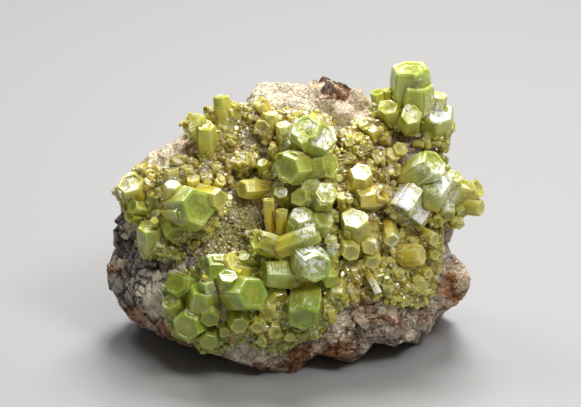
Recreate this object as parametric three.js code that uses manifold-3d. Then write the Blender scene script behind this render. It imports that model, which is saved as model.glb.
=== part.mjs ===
// Pyromorphite: a cabinet specimen of barrel-shaped, six-sided crystals on a block of vein quartz.
// Millimetres, +Z up. The block rests on its flat broken foot at z = 0, its display face looks along -Y,
// and the origin is the middle of the foot.
import * as THREE from "three";
import { mergeVertices } from "three/addons/utils/BufferGeometryUtils.js";
import Module from "manifold-3d";

const wasm = await Module();
wasm.setup();

// The display face is laid out on a plane that leans back. A place on it is given as across (to the
// right), up (along the lean) and deep (into the block). Up is counted from the lowest front edge.
const LEAN = THREE.MathUtils.degToRad(25);
const FOOT_UP = 9.3;
const ACROSS = new THREE.Vector3(1, 0, 0);
const UP = new THREE.Vector3(0, Math.sin(LEAN), Math.cos(LEAN));
const DEEP = new THREE.Vector3(0, Math.cos(LEAN), -Math.sin(LEAN));

// The block of quartz: its middle, and its outline as seen on the display plane.
const MIDDLE = { across: 0, up: 30, deep: -9.7 };
const OUTLINE = [
  [37.0, 18.8], [36.0, 21.6], [35.0, 23.8], [33.4, 24.5], [31.4, 25.4], [31.8, 28.0], [33.2, 30.4],
  [34.8, 33.0], [35.0, 36.0], [33.6, 39.0], [30.8, 42.0], [29.6, 44.4], [29.6, 47.0], [29.2, 50.4],
  [27.0, 53.6], [23.0, 55.4], [19.0, 55.6], [15.8, 55.2], [14.4, 56.6], [12.4, 58.8], [11.0, 59.8],
  [7.2, 60.8], [4.4, 59.6], [1.0, 59.8], [-1.6, 60.2], [-4.4, 59.8], [-6.4, 59.4], [-7.2, 57.6],
  [-8.6, 56.6], [-9.0, 54.4], [-11.6, 52.2], [-15.6, 50.6], [-20.0, 49.6], [-22.0, 48.8], [-23.6, 47.2],
  [-25.6, 45.8], [-27.6, 45.0], [-29.0, 43.6], [-31.0, 42.4], [-33.6, 41.0], [-35.2, 39.0], [-35.4, 36.4],
  [-34.4, 34.4], [-35.4, 32.8], [-36.4, 30.8], [-35.6, 28.6], [-35.8, 26.0], [-37.2, 22.4], [-37.0, 19.2],
  [-36.2, 16.6], [-34.4, 14.0], [-32.8, 12.0], [-29.6, 9.8], [-26.0, 7.8], [-22.4, 6.6], [-18.0, 5.6],
  [-14.0, 4.2], [-10.0, 3.6], [-7.0, 1.6], [-4.0, 0.8], [-0.2, 0.6], [2.0, 2.4], [3.6, 4.4], [5.6, 5.0],
  [9.0, 4.2], [12.0, 3.4], [14.6, 3.8], [14.8, 6.6], [16.0, 7.6], [21.0, 7.0], [25.6, 7.4], [28.4, 9.2],
  [30.0, 11.6], [31.2, 14.0], [35.6, 15.0], [36.2, 17.0],
];

// Broken faces that bound the block: the outward normal on (across, up, deep) and the distance from
// the middle. The last four are given on the world's axes, as they are the back of the block.
const FRONT_FACES = [
  { normal: [0.02, 0.14, -0.99], distance: 12.5 },
  { normal: [-0.5, 0.05, -0.86], distance: 20.5 },
  { normal: [0.5, -0.05, -0.86], distance: 20.5 },
  { normal: [0.05, 0.6, -0.8], distance: 22.5 },
  { normal: [0, -0.5, -0.87], distance: 22 },
  { normal: [-0.45, -0.55, -0.7], distance: 27 },
  { normal: [0.45, -0.5, -0.74], distance: 26 },
];
const BACK_FACES = [
  { normal: [0.05, 1, 0.1], distance: 18.5 },
  { normal: [-0.62, 0.78, 0.05], distance: 25 },
  { normal: [0.6, 0.8, -0.05], distance: 26 },
  { normal: [0.1, 0.6, 0.8], distance: 29 },
  { normal: [-0.1, 0.75, -0.66], distance: 26 },
];
const EDGE_SHARPNESS = 26;

// Swells and hollows of the display face: where, how wide, and how far they rise towards the front.
const SWELLS = [
  { across: 24, up: 50, width: 7, rise: 4.5 },
  { across: 5, up: 44, width: 8, rise: 3.5 },
  { across: 2, up: 27, width: 8, rise: 2.5 },
  { across: 30, up: 36, width: 7, rise: 3.5 },
  { across: -20, up: 35, width: 8, rise: 2 },
  { across: -14, up: 19, width: 7, rise: 2.5 },
  { across: 17, up: 47, width: 5, rise: -1 },
  { across: 20, up: 24, width: 6, rise: -1.5 },
  { across: -9, up: 40, width: 4.5, rise: -3 },
  { across: -14, up: 28, width: 5, rise: -1.5 },
];
// Rounded knobs of milky quartz, and ledges, that stand out of the block.
const KNOBS = [
  { across: 7, up: 55.5, radius: 3.6, sink: 1.6 },
  { across: 10.2, up: 52.6, radius: 3.2, sink: 1.4 },
  { across: 14, up: 55, radius: 2.6, sink: 1.2 },
  { across: -27, up: 17, radius: 4.6, sink: 3.2 },
  { across: 19, up: 11.5, radius: 4.2, sink: 2.6 },
  { across: 33, up: 19.5, radius: 3.4, sink: 1.6 },
  { across: -6, up: 5, radius: 3.4, sink: 2 },
];

const SKIN = { turns: 60, rings: 18 };
const CRUST = { turns: 32, rings: 11 };
const LUMP_SIZE = 7;
const LUMP_RISE = 1.3;
const LEDGE_SIZE = 7;
const LEDGE_RISE = 1;
const BACK_LEDGE_RISE = 1.8;
const POLE_CALM = 0.4;
const CLEARANCE = 0.3;
const SLIVER = 0.08;
const CRUST_THICKNESS = 1.8;
const CRUST_STOP = 5;
const COLUMN_DEPTH = 60;
const CUT_WIDTH = 200;
const CUT_DEPTH = 60;
// The skin's relief dies down by this share, and this sharply, towards the outline.
const OUTLINE_CALM = 0.6;
const OUTLINE_CALM_POWER = 8;
// A knob's shape next to a ball, on the world's axes, and how finely its ball is divided.
const KNOB_SHAPE = [1, 0.8, 0.9];
const KNOB_DETAIL = 1;
// Below these, a slope counts as along the face, a direction as the pole, and two points as one.
const GRAZING = 1e-3;
const AT_POLE = 1e-9;
const SAME_POINT = 1e-4;

// Habit of a crystal: how far its waist swells, how far its end draws in, and how deep its foot sits.
const BARREL_SWELL = 1.1;
const END_DRAW = 0.97;
const FOOT_DRAW = 0.88;
const BARREL_FROM = 1.8;
const FOOT_DEPTH = 1;
const SIDES = 6;
const BARREL_ROUNDS = 2;
// A foot that would miss the quartz moves to the block's middle by this share at a time.
const FOOT_SEARCH_STEP = 0.04;

// Groups of intergrown crystals, largest first. A row of crystals holds: across and up of the end face's
// middle, radius, length, heading on the display plane in degrees (0 right, 90 up), lift out of that
// plane in degrees, and how far the foot stands off the quartz, on the crystals under it.
const GROUPS = [
  {
    name: "centre_crystals",
    colour: 0x8ba447,
    beds: [
      [
        [-8.6, 29.6], [-5.6, 30], [-0.8, 30.8], [0.6, 34.2], [5.6, 34.6], [9.4, 33.8],
        [9.2, 28.8], [9.6, 23.6], [9.4, 18.6], [5.6, 18.2], [2, 19.8], [-5.4, 18.8],
        [-6.8, 23.6], [-8, 25.6],
      ],
      [
        [-5.2, 36.8], [-3.6, 38.8], [-4.4, 41.6], [-2.8, 44.8], [0.4, 46.4], [-2.4, 48],
        [-5.6, 48.8], [-8, 52.4], [-7.6, 56], [-4.4, 56.4], [-2, 54.2], [1.2, 54.2], [6, 53.4],
        [9.2, 51.8], [9.4, 46.6], [10.6, 43.4], [10, 39], [9.4, 35.4], [4.8, 35.2], [0, 34.9],
        [-0.8, 31.4], [-4.8, 30.6],
      ],
      [
        [10.4, 46], [10.4, 49.2], [13.2, 52.4], [15.2, 52.8], [16.4, 50.2], [19, 49.4],
        [22.4, 49.6], [24.4, 48], [24.4, 44.8], [21, 42], [20.6, 39.6], [19.4, 36.8],
        [18.4, 34.2], [15.4, 34.2], [10.8, 33.8], [10.6, 38], [11.2, 42.4],
      ],
    ],
    crystals: [
      [5.4, 29.8, 2.1, 9.6, 22, 12, 5],
      [-6.6, 28.2, 2.4, 9, 160, 30, 1.2],
      [-5.2, 21.6, 3.0, 10.6, 180, 18, 1.6],
      [5.2, 22.6, 3.7, 8.4, 318, 58, 1],
      [8.2, 19.8, 1.9, 6.7, 300, 38, 0],
      [8.0, 28.8, 1.4, 6.7, 93, 20, 2.4],
      [2.2, 33.4, 2.5, 7.8, 80, 46, 0],
      [6.6, 32.4, 2.5, 7.8, 45, 46, 0],
      [2.4, 25.6, 1.8, 5.6, 60, 50, 0],
      [-2.6, 27.6, 2.1, 6.7, 110, 45, 0],
      [-0.8, 42.0, 3.3, 9, 190, 60, 0.6],
      [8.2, 42.8, 3.0, 9.5, 15, 38, 0.8],
      [7.2, 37.4, 2.7, 8.4, 50, 60, 0.8],
      [4.0, 38.0, 2.8, 8.4, 120, 60, 0.6],
      [1.6, 36.6, 2.0, 8, 170, 56, 0],
      [3.0, 50.2, 3.5, 9, 110, 58, 0.6],
      [6.4, 48.6, 3.4, 9, 40, 58, 0.6],
      [4.8, 46.8, 2.7, 8.4, 275, 55, 0],
      [-4.2, 36.2, 1.3, 7.8, 93, 18, 1.6],
      [-1.6, 34.0, 1.4, 6.7, 90, 25, 1],
      [-1.8, 37.6, 1.7, 6.2, 110, 50, 0],
      [-9.6, 38.0, 2.1, 7.3, 185, 36, 0],
      [-5.4, 43.4, 1.2, 5.6, 100, 48, 0.5],
      [-3.4, 46.2, 1.0, 5, 90, 42, 0.5],
      [-6.2, 55.4, 1.7, 5.6, 125, 38, 0],
      [-4.0, 53.4, 1.8, 6.7, 85, 25, 0.6],
      [-5.6, 50.2, 1.8, 5, 230, 58, 0],
      [-1.4, 51.0, 1.6, 7.3, 92, 28, 0.4],
      [0.4, 48.0, 1.5, 5.6, 60, 45, 0],
      [14.0, 41.6, 2.5, 6.7, 82, 50, 0],
      [13.0, 36.0, 2.3, 8.4, 188, 26, 0.6],
      [18.2, 37.2, 1.7, 5.6, 50, 45, 0],
      [10.4, 37.0, 1.5, 6.2, 100, 38, 0],
      [11.6, 47.6, 1.2, 3.9, 150, 55, 0],
      [13.4, 48.6, 1.3, 3.9, 100, 55, 0],
      [15.0, 47.4, 1.3, 3.9, 40, 60, 0],
      [12.4, 45.6, 1.2, 3.9, 200, 55, 0],
      [14.4, 45.6, 1.3, 3.9, 300, 60, 0],
      [11.6, 44.2, 1.2, 3.9, 150, 50, 0],
      [17.4, 44.8, 1.5, 3.9, 80, 60, 0],
      [16.4, 42.8, 1.3, 3.9, 30, 60, 0],
      [20.4, 45.2, 1.6, 4.5, 60, 60, 0],
      [18.6, 41.6, 1.4, 3.9, 90, 60, 0],
      [20.8, 42.0, 1.5, 3.9, 10, 60, 0],
      [16.4, 50.6, 1.8, 4.5, 100, 50, 0],
      [14.4, 51.4, 1.3, 3.9, 120, 50, 0],
      [21.8, 46.2, 1.7, 4.5, 60, 58, 0],
      [18.4, 47.4, 1.3, 3.9, 250, 55, 0],
    ],
  },
  {
    name: "crown_crystals",
    colour: 0x96ac50,
    beds: [
      [
        [15.6, 55.2], [19, 56.4], [27, 56], [31.6, 52], [31.2, 46], [27, 45.6], [24.4, 47.4],
        [22, 48], [19.6, 48], [17.2, 50.4], [15.2, 53.6],
      ],
    ],
    crystals: [
      [23.6, 62.2, 4.1, 11, 95, 27, 0.6],
      [25, 59.0, 3.5, 6.6, 88, 26, 3.4],
      [23.8, 52.8, 2.3, 6.7, 80, 68, 2],
      [21.4, 50.8, 1.9, 5, 230, 62, 0],
      [24.0, 49.6, 1.7, 5, 275, 60, 0.6],
      [17.2, 57.4, 1.6, 5.6, 100, 30, 0],
      [19.4, 57.8, 1.1, 5, 90, 30, 0],
      [19.2, 54.4, 2.2, 6.2, 110, 55, 0],
      [29.2, 53.4, 3.4, 6.8, 108, 52, 0.8],
      [29.6, 56.8, 1.7, 7.3, 85, 30, 0],
      [27.0, 49.2, 0.8, 3.4, 90, 30, 0.6],
      [31.0, 46.6, 1.1, 3.4, 320, 40, 0],
      [29.2, 46.8, 1.0, 3.4, 290, 45, 0],
      [26.8, 47.0, 1.1, 3.4, 270, 50, 0],
      [18.6, 51.2, 1.1, 3.4, 200, 60, 0],
      [16.8, 54.0, 1.3, 3.9, 150, 55, 0],
      [21.6, 56.6, 1.7, 6.2, 110, 40, 0],
    ],
  },
  {
    name: "right_crystals",
    colour: 0x93aa4c,
    beds: [
      [
        [21.6, 42.4], [25, 44.4], [30, 45], [34.4, 42], [38, 39], [38.4, 33], [34.4, 30.8],
        [30, 30.8], [27.6, 32.4], [23.6, 31.6], [20.4, 31.2], [18.8, 33.2], [20, 36.8],
        [21.2, 39],
      ],
      [
        [10.4, 33.2], [15.2, 33.6], [18, 32.4], [19.6, 30.4], [24, 30.8], [28, 31.6], [30.4, 30],
        [30, 23.6], [28.8, 17.6], [26, 14.8], [22, 15.2], [18, 16.4], [12.4, 16.8], [10.4, 18],
        [10, 23.6],
      ],
    ],
    crystals: [
      [28.4, 43.4, 3.2, 9, 35, 42, 0.6],
      [24.2, 42.0, 2.6, 6.7, 130, 45, 0.4],
      [28.6, 39.4, 3.2, 6.2, 80, 50, 2.4],
      [32.6, 40.8, 2.0, 7.3, 60, 36, 0.6],
      [31.2, 34.6, 1.8, 7.3, 222, 20, 2],
      [34.6, 39.2, 1.9, 7.3, 55, 30, 0.6],
      [37.4, 38.4, 2.1, 7.3, 25, 32, 0],
      [38.0, 34.4, 1.9, 7.3, 348, 25, 0],
      [21.6, 33.6, 2.6, 8.4, 236, 22, 2.6],
      [24.2, 31.4, 2.3, 7.8, 238, 24, 1.6],
      [21.2, 38.0, 1.6, 5.6, 130, 28, 1.2],
      [19.8, 35.0, 1.8, 6.2, 140, 32, 0.8],
      [26.8, 33.0, 1.1, 3.9, 310, 40, 0.8],
      [31.0, 32.6, 2.0, 6.7, 275, 38, 0],
      [34.4, 33.2, 1.7, 6.2, 300, 35, 0],
      [33.4, 30.8, 1.6, 6.2, 285, 25, 0],
      [28.8, 31.6, 1.4, 5.6, 265, 45, 0],
      [36.4, 36.6, 1.6, 5.6, 10, 50, 0],
      [12.6, 32.6, 2.9, 7.3, 95, 50, 0],
      [12.0, 25.6, 2.1, 5.6, 295, 60, 0],
      [15.6, 26.6, 1.8, 5.6, 270, 70, 0],
      [20.0, 27.8, 1.7, 6.2, 280, 50, 0.4],
      [26.2, 25.2, 2.1, 6.7, 5, 26, 1],
      [16.2, 23.6, 1.8, 5, 285, 55, 0],
      [17.4, 17.6, 0.9, 5.6, 298, 10, 3.2],
      [17.8, 20.2, 1.6, 5, 300, 50, 0],
      [11.8, 18.2, 0.9, 3.4, 110, 40, 1.2],
      [19.0, 19.2, 0.9, 3.4, 100, 40, 1.2],
      [12.2, 20.6, 1.5, 4.5, 250, 55, 0],
      [21.0, 21.0, 1.3, 4.5, 280, 60, 0],
      [25.6, 18.8, 1.9, 4.5, 290, 65, 0],
      [27.4, 21.4, 1.2, 3.9, 330, 55, 0],
      [23.2, 18.0, 1.4, 3.9, 270, 60, 0],
      [24.2, 22.2, 1.3, 4.5, 240, 55, 0],
      [16.4, 31.0, 0.9, 5, 100, 25, 1],
      [28.6, 28.2, 1.6, 5, 330, 45, 0],
      [28.8, 25.0, 1.2, 4.5, 340, 45, 0],
      [23.4, 27.4, 1.5, 5, 200, 50, 0],
      [14.0, 22.0, 1.3, 4.5, 270, 55, 0],
    ],
  },
  {
    name: "left_crystals",
    colour: 0x87a044,
    beds: [
      [
        [-29.6, 37.2], [-25.2, 40], [-21.2, 38.8], [-14.8, 38.4], [-11.6, 36.8], [-12.4, 33.2],
        [-15.6, 29.6], [-18, 27.2], [-22.8, 24.4], [-28.8, 24.4], [-30.4, 27.2], [-30.4, 31.6],
        [-32.8, 32], [-32.8, 35.2],
      ],
      [
        [-35.4, 39], [-33.6, 41], [-28.8, 43.2], [-25.2, 42.8], [-25, 41], [-26.6, 39.6],
        [-30, 37.6], [-33, 33.6], [-35, 33.2],
      ],
    ],
    crystals: [
      [-23.0, 39.2, 1.9, 7.8, 88, 34, 1.2],
      [-17.6, 34.6, 4.2, 9.2, 5, 58, 0.8],
      [-27.6, 31.0, 2.8, 6.4, 95, 36, 0.8],
      [-21.8, 29.0, 2.8, 6.7, 280, 42, 0],
      [-26.8, 37.2, 1.6, 7.3, 72, 24, 0.8],
      [-26.6, 32.0, 0.9, 5.6, 90, 60, 1.4],
      [-25.6, 25.8, 1.9, 5.6, 262, 36, 0],
      [-28.2, 26.2, 1.7, 5, 240, 40, 0],
      [-23.4, 25.2, 1.4, 4.5, 280, 40, 0],
      [-31.2, 34.8, 1.6, 5.6, 165, 45, 0],
      [-31.8, 32.8, 1.5, 5, 185, 45, 0],
      [-16.6, 30.8, 0.9, 3.9, 300, 50, 0],
      [-24.8, 33.2, 1.4, 5.6, 90, 40, 0.6],
      [-31.6, 39.6, 2.9, 6.7, 115, 50, 0],
      [-34.4, 38.4, 1.2, 5, 120, 30, 0],
      [-27.0, 40.0, 1.5, 4.5, 60, 50, 0],
      [-28.6, 42.2, 1.3, 3.9, 100, 40, 0],
      [-30.8, 41.6, 1.2, 3.9, 120, 40, 0],
      [-29.4, 38.4, 1.3, 4.5, 290, 50, 0],
      [-13.4, 36.0, 2.4, 7.8, 352, 36, 0.6],
    ],
  },
  {
    name: "lower_left_crystals",
    colour: 0x8ca546,
    beds: [
      [
        [-25.2, 18], [-24, 21.6], [-20.4, 22.4], [-18, 22.8], [-15.2, 24.8], [-9.2, 26],
        [-7.4, 23.4], [-6.8, 22], [-5.6, 18], [-4.8, 15.6], [-7.6, 13.6], [-8, 9.2], [-13.6, 6],
        [-17.6, 6], [-19.6, 8], [-23.2, 9.2], [-24.8, 13.6],
      ],
      [
        [-4.2, 17], [1.6, 18], [6, 17.6], [10.6, 17.6], [11.4, 15.6], [8, 13.6], [6, 9.2],
        [1.2, 8], [-1.6, 5.8], [-6.8, 6.2], [-7.2, 12.8],
      ],
    ],
    crystals: [
      [-7.0, 17.8, 3.8, 7.8, 2, 56, 1.4],
      [-16.6, 18.8, 3.0, 6.6, 80, 34, 2.0],
      [-16.8, 22.6, 2.9, 9.6, 174, 22, 1.2],
      [-12.0, 21.4, 2.0, 5.6, 85, 50, 2.6],
      [-16.2, 20.6, 1.8, 5.6, 100, 40, 1.4],
      [-22.4, 19.6, 2.5, 5.6, 165, 58, 0],
      [-23.4, 16.2, 2.2, 5.6, 130, 52, 0],
      [-20.4, 11.0, 3.1, 6.7, 215, 66, 0],
      [-16.0, 8.0, 2.0, 4.5, 255, 62, 0],
      [-9.8, 11.4, 2.0, 6.2, 285, 55, 0],
      [-15.6, 12.6, 2.2, 5.6, 270, 50, 0],
      [-19.2, 18.8, 0.8, 4.5, 120, 50, 0.4],
      [-9.0, 25.0, 1.3, 5.6, 115, 45, 0],
      [-12.8, 10.0, 1.3, 3.9, 260, 55, 0],
      [-10.6, 23.8, 2.5, 6.7, 40, 35, 0],
      [2.6, 12.6, 3.5, 8.4, 264, 45, 0.8],
      [9.0, 16.6, 2.0, 5.6, 260, 50, 0],
      [7.6, 13.6, 1.3, 4.5, 280, 50, 0],
      [-2.0, 16.0, 2.4, 5.6, 300, 45, 0],
      [-4.4, 13.6, 2.0, 5, 270, 55, 0],
      [-6.4, 11.0, 1.6, 4.5, 265, 55, 0],
      [-3.0, 10.0, 1.7, 3.9, 270, 60, 0],
      [0, 9, 1.3, 3.9, 280, 55, 0],
      [-5.6, 8.0, 1.2, 3.4, 260, 55, 0],
    ],
  },
  {
    name: "upper_left_crystals",
    colour: 0x9cab48,
    beds: [
      [
        [-21.2, 50.4], [-16.8, 52.2], [-13.6, 54], [-9.2, 54.2], [-8.6, 51.6], [-9, 46],
        [-12, 42.5], [-16.8, 41.5], [-18.8, 46.8], [-20.4, 48.2],
      ],
      [
        [-24.4, 43.2], [-21.6, 44.6], [-18.4, 43.8], [-16.4, 42.8], [-13, 45.4], [-6.8, 46.4],
        [-6, 42.8], [-11.4, 41.2], [-11.2, 38.8], [-14.8, 39.4], [-20.8, 39.8], [-24.4, 41],
      ],
    ],
    crystals: [
      [-13.6, 56.6, 2.1, 8.4, 100, 12, 0],
      [-19.2, 51.6, 2.4, 6.7, 125, 42, 0],
      [-16.6, 50.8, 2.1, 8.4, 92, 36, 0],
      [-10.4, 55.0, 1.5, 6.2, 82, 18, 0],
      [-12.4, 52.8, 1.4, 5, 200, 50, 0],
      [-16.4, 53.6, 1.0, 4.5, 120, 25, 0],
      [-14.4, 48.6, 1.3, 4.5, 330, 50, 0],
      [-11.2, 51.4, 1.1, 3.4, 300, 60, 0],
      [-11.6, 47.8, 1.0, 3.4, 270, 60, 0],
      [-16.4, 46.0, 1.6, 4.5, 250, 55, 0],
      [-23.2, 42.6, 1.8, 5, 98, 28, 0],
      [-20.2, 42.6, 1.4, 5, 80, 28, 0],
      [-22.0, 44.2, 1.3, 4.5, 100, 30, 0],
      [-19.0, 40.4, 1.5, 4.5, 100, 40, 0],
      [-16.4, 40.8, 1.3, 3.9, 80, 45, 0],
      [-13.6, 39.8, 1.3, 3.9, 60, 45, 0],
      [-9.4, 44.4, 1.9, 5, 95, 50, 0],
      [-11.4, 44.0, 1.4, 4.5, 140, 50, 0],
      [-7.6, 44.4, 1.3, 4.5, 40, 50, 0],
      [-10.0, 42.4, 1.2, 3.4, 270, 50, 0],
      [-15.0, 42.4, 1.2, 3.4, 90, 50, 0],
    ],
  },
];

const QUARTZ_COLOUR = 0xb8ada0;
const QUARTZ_ROUGHNESS = 0.9;
const CRYSTAL_ROUGHNESS = 0.35;

function onPlane(across, up, deep) {
  return new THREE.Vector3()
    .addScaledVector(ACROSS, across)
    .addScaledVector(UP, up - FOOT_UP)
    .addScaledVector(DEEP, deep);
}

function planeDirection(across, up, deep) {
  return new THREE.Vector3()
    .addScaledVector(ACROSS, across)
    .addScaledVector(UP, up)
    .addScaledVector(DEEP, deep)
    .normalize();
}

// A repeatable number from 0 to 1 for three numbers.
const HASH_STRIDES = [127.1, 311.7, 74.7];
const HASH_SCALE = 43758.5453;

function hash(i, j, k) {
  const s = Math.sin(i * HASH_STRIDES[0] + j * HASH_STRIDES[1] + k * HASH_STRIDES[2]) * HASH_SCALE;
  return s - Math.floor(s);
}

// Smooth lumps of the given size, from -1 to 1.
function lumps(point, size) {
  const p = point.clone().divideScalar(size);
  const cell = p.clone().floor();
  const ease = (t) => t * t * (3 - 2 * t);
  const f = p.clone().sub(cell);
  const [ex, ey, ez] = [ease(f.x), ease(f.y), ease(f.z)];
  let sum = 0;
  for (const [i, j, k] of [0, 1, 2, 3, 4, 5, 6, 7].map((n) => [n & 1, (n >> 1) & 1, n >> 2])) {
    const weight = (i ? ex : 1 - ex) * (j ? ey : 1 - ey) * (k ? ez : 1 - ez);
    sum += weight * hash(cell.x + i, cell.y + j, cell.z + k);
  }
  return 2 * sum - 1;
}

// Blocky ledges of the given size, from -1 to 1: every point of one broken block has one height.
const LEDGE_SEED = [5, 9, 3];

function ledges(point, size) {
  const p = point.clone().divideScalar(size);
  const cell = p.clone().floor();
  let nearest = Infinity;
  let height = 0;
  for (let i = -1; i <= 1; i++)
    for (let j = -1; j <= 1; j++)
      for (let k = -1; k <= 1; k++) {
        const [x, y, z] = [cell.x + i, cell.y + j, cell.z + k];
        const heart = new THREE.Vector3(x + hash(x, y, z), y + hash(y, z, x), z + hash(z, x, y));
        const distance = heart.distanceTo(p);
        if (distance < nearest) {
          nearest = distance;
          height = 2 * hash(x + LEDGE_SEED[0], y + LEDGE_SEED[1], z + LEDGE_SEED[2]) - 1;
        }
      }
  return height;
}

// Distance from the block's middle to its outline, at an angle on the display plane.
const outlinePolar = OUTLINE.map(([across, up]) => {
  const [a, u] = [across - MIDDLE.across, up - MIDDLE.up];
  return { angle: Math.atan2(u, a), radius: Math.hypot(a, u) };
}).sort((a, b) => a.angle - b.angle);

function outlineRadius(angle) {
  const count = outlinePolar.length;
  const next = outlinePolar.findIndex((p) => p.angle > angle);
  const high =
    next < 0 ? { ...outlinePolar[0], angle: outlinePolar[0].angle + 2 * Math.PI } : outlinePolar[next];
  const low =
    next === 0
      ? { ...outlinePolar[count - 1], angle: outlinePolar[count - 1].angle - 2 * Math.PI }
      : outlinePolar[(next < 0 ? count : next) - 1];
  const share = (angle - low.angle) / (high.angle - low.angle);
  return low.radius + (high.radius - low.radius) * share;
}

const middlePoint = onPlane(MIDDLE.across, MIDDLE.up, MIDDLE.deep);
const faces = [
  ...FRONT_FACES.map((f) => ({ normal: planeDirection(...f.normal), distance: f.distance })),
  ...BACK_FACES.map((f) => ({ normal: new THREE.Vector3(...f.normal).normalize(), distance: f.distance })),
];

// Where the quartz's skin lies in one direction from the middle. The turn goes round the outline, and the
// swing goes from the front (0) over the outline (a quarter turn) to the back.
function skinPoint(turn, swing, proud) {
  const side = Math.sin(swing);
  const way = planeDirection(side * Math.cos(turn), side * Math.sin(turn), -Math.cos(swing));
  const limits = faces
    .map((f) => ({ reach: f.distance, cosine: f.normal.dot(way) }))
    .filter((f) => f.cosine > GRAZING)
    .map((f) => f.reach / f.cosine);
  if (side > GRAZING) limits.push(outlineRadius(turn) / side);
  const reach = limits.reduce((sum, r) => sum + r ** -EDGE_SHARPNESS, 0) ** (-1 / EDGE_SHARPNESS);
  const bare = middlePoint.clone().addScaledVector(way, reach);
  const ledgeRise = swing > Math.PI / 2 ? BACK_LEDGE_RISE : LEDGE_RISE;
  const rough = LUMP_RISE * lumps(bare, LUMP_SIZE) + ledgeRise * ledges(bare, LEDGE_SIZE);
  const hold = (1 - OUTLINE_CALM * side ** OUTLINE_CALM_POWER) * Math.min(1, side / POLE_CALM);
  const point = bare.addScaledVector(way, rough * hold + proud);
  const front = Math.max(0, Math.cos(swing));
  const [across, up] = [point.dot(ACROSS), point.dot(UP) + FOOT_UP];
  for (const s of SWELLS) {
    const away = Math.hypot(across - s.across, up - s.up) / s.width;
    point.addScaledVector(DEEP, -s.rise * Math.exp(-away * away) * Math.sqrt(front));
  }
  return point;
}

// The quartz's skin as a closed mesh, standing proud of its real place by the given amount.
function skinGeometry(proud, mesh) {
  const geometry = new THREE.SphereGeometry(1, mesh.turns, mesh.rings);
  const position = geometry.getAttribute("position");
  const unit = new THREE.Vector3();
  for (let i = 0; i < position.count; i++) {
    unit.fromBufferAttribute(position, i);
    const swing = Math.acos(THREE.MathUtils.clamp(unit.y, -1, 1));
    const turn = Math.abs(unit.y) > 1 - AT_POLE ? 0 : Math.atan2(unit.z, unit.x);
    const point = skinPoint(turn, swing, proud);
    position.setXYZ(i, point.x, point.y, point.z);
  }
  return geometry;
}

// A closed geometry as a solid, whichever way round its faces were made.
function solidOf(geometry) {
  const bare = new THREE.BufferGeometry()
    .setAttribute("position", geometry.getAttribute("position"))
    .setIndex(geometry.index);
  const merged = mergeVertices(bare, SAME_POINT);
  const corners = merged.index.array;
  const kept = [];
  for (let i = 0; i < corners.length; i += 3) {
    const [a, b, c] = [corners[i], corners[i + 1], corners[i + 2]];
    if (a !== b && b !== c && c !== a) kept.push(a, b, c);
  }
  const vertProperties = new Float32Array(merged.getAttribute("position").array);
  const closed = () =>
    new wasm.Manifold(new wasm.Mesh({ numProp: 3, vertProperties, triVerts: new Uint32Array(kept) }));
  const made = closed();
  if (made.volume() > 0) return made;
  for (let i = 0; i < kept.length; i += 3) [kept[i], kept[i + 1]] = [kept[i + 1], kept[i]];
  return closed();
}

function geometryOf(solid) {
  const mesh = solid.getMesh();
  const position = new Float32Array(mesh.numVert * 3);
  for (let i = 0; i < mesh.numVert; i++)
    position.set(mesh.vertProperties.subarray(i * mesh.numProp, i * mesh.numProp + 3), i * 3);
  const geometry = new THREE.BufferGeometry();
  geometry.setAttribute("position", new THREE.BufferAttribute(position, 3));
  geometry.setIndex(new THREE.BufferAttribute(new Uint32Array(mesh.triVerts), 1));
  geometry.computeVertexNormals();
  return geometry;
}

function unionOf(solids) {
  return solids.reduce((sum, solid) => sum.add(solid));
}

// The front of the quartz under a place on the display plane, as a depth, or null past its outline.
const seenFromBoth = new THREE.MeshStandardMaterial({ side: THREE.DoubleSide });
const quartzMesh = new THREE.Mesh(skinGeometry(0, SKIN), seenFromBoth);
quartzMesh.geometry.computeBoundingSphere();
const ray = new THREE.Raycaster();
const RAY_START = -60;

function frontDepth(across, up) {
  ray.set(onPlane(across, up, RAY_START), DEEP);
  const hits = ray.intersectObject(quartzMesh);
  return hits.length ? RAY_START + hits[0].distance : null;
}

// The place of a crystal: its foot in the quartz and the way it points.
function placeCrystal([across, up, , length, heading, lift, stand]) {
  const [h, l] = [THREE.MathUtils.degToRad(heading), THREE.MathUtils.degToRad(lift)];
  const lean = [Math.cos(l) * Math.cos(h), Math.cos(l) * Math.sin(h)];
  let [footAcross, footUp] = [across - length * lean[0], up - length * lean[1]];
  let depth = frontDepth(footAcross, footUp);
  while (depth === null) {
    footAcross += (MIDDLE.across - footAcross) * FOOT_SEARCH_STEP;
    footUp += (MIDDLE.up - footUp) * FOOT_SEARCH_STEP;
    depth = frontDepth(footAcross, footUp);
  }
  const foot = onPlane(footAcross, footUp, depth + FOOT_DEPTH - stand);
  const end = onPlane(across, up, depth + FOOT_DEPTH - stand - length * Math.sin(l));
  return { foot, end };
}

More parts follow.
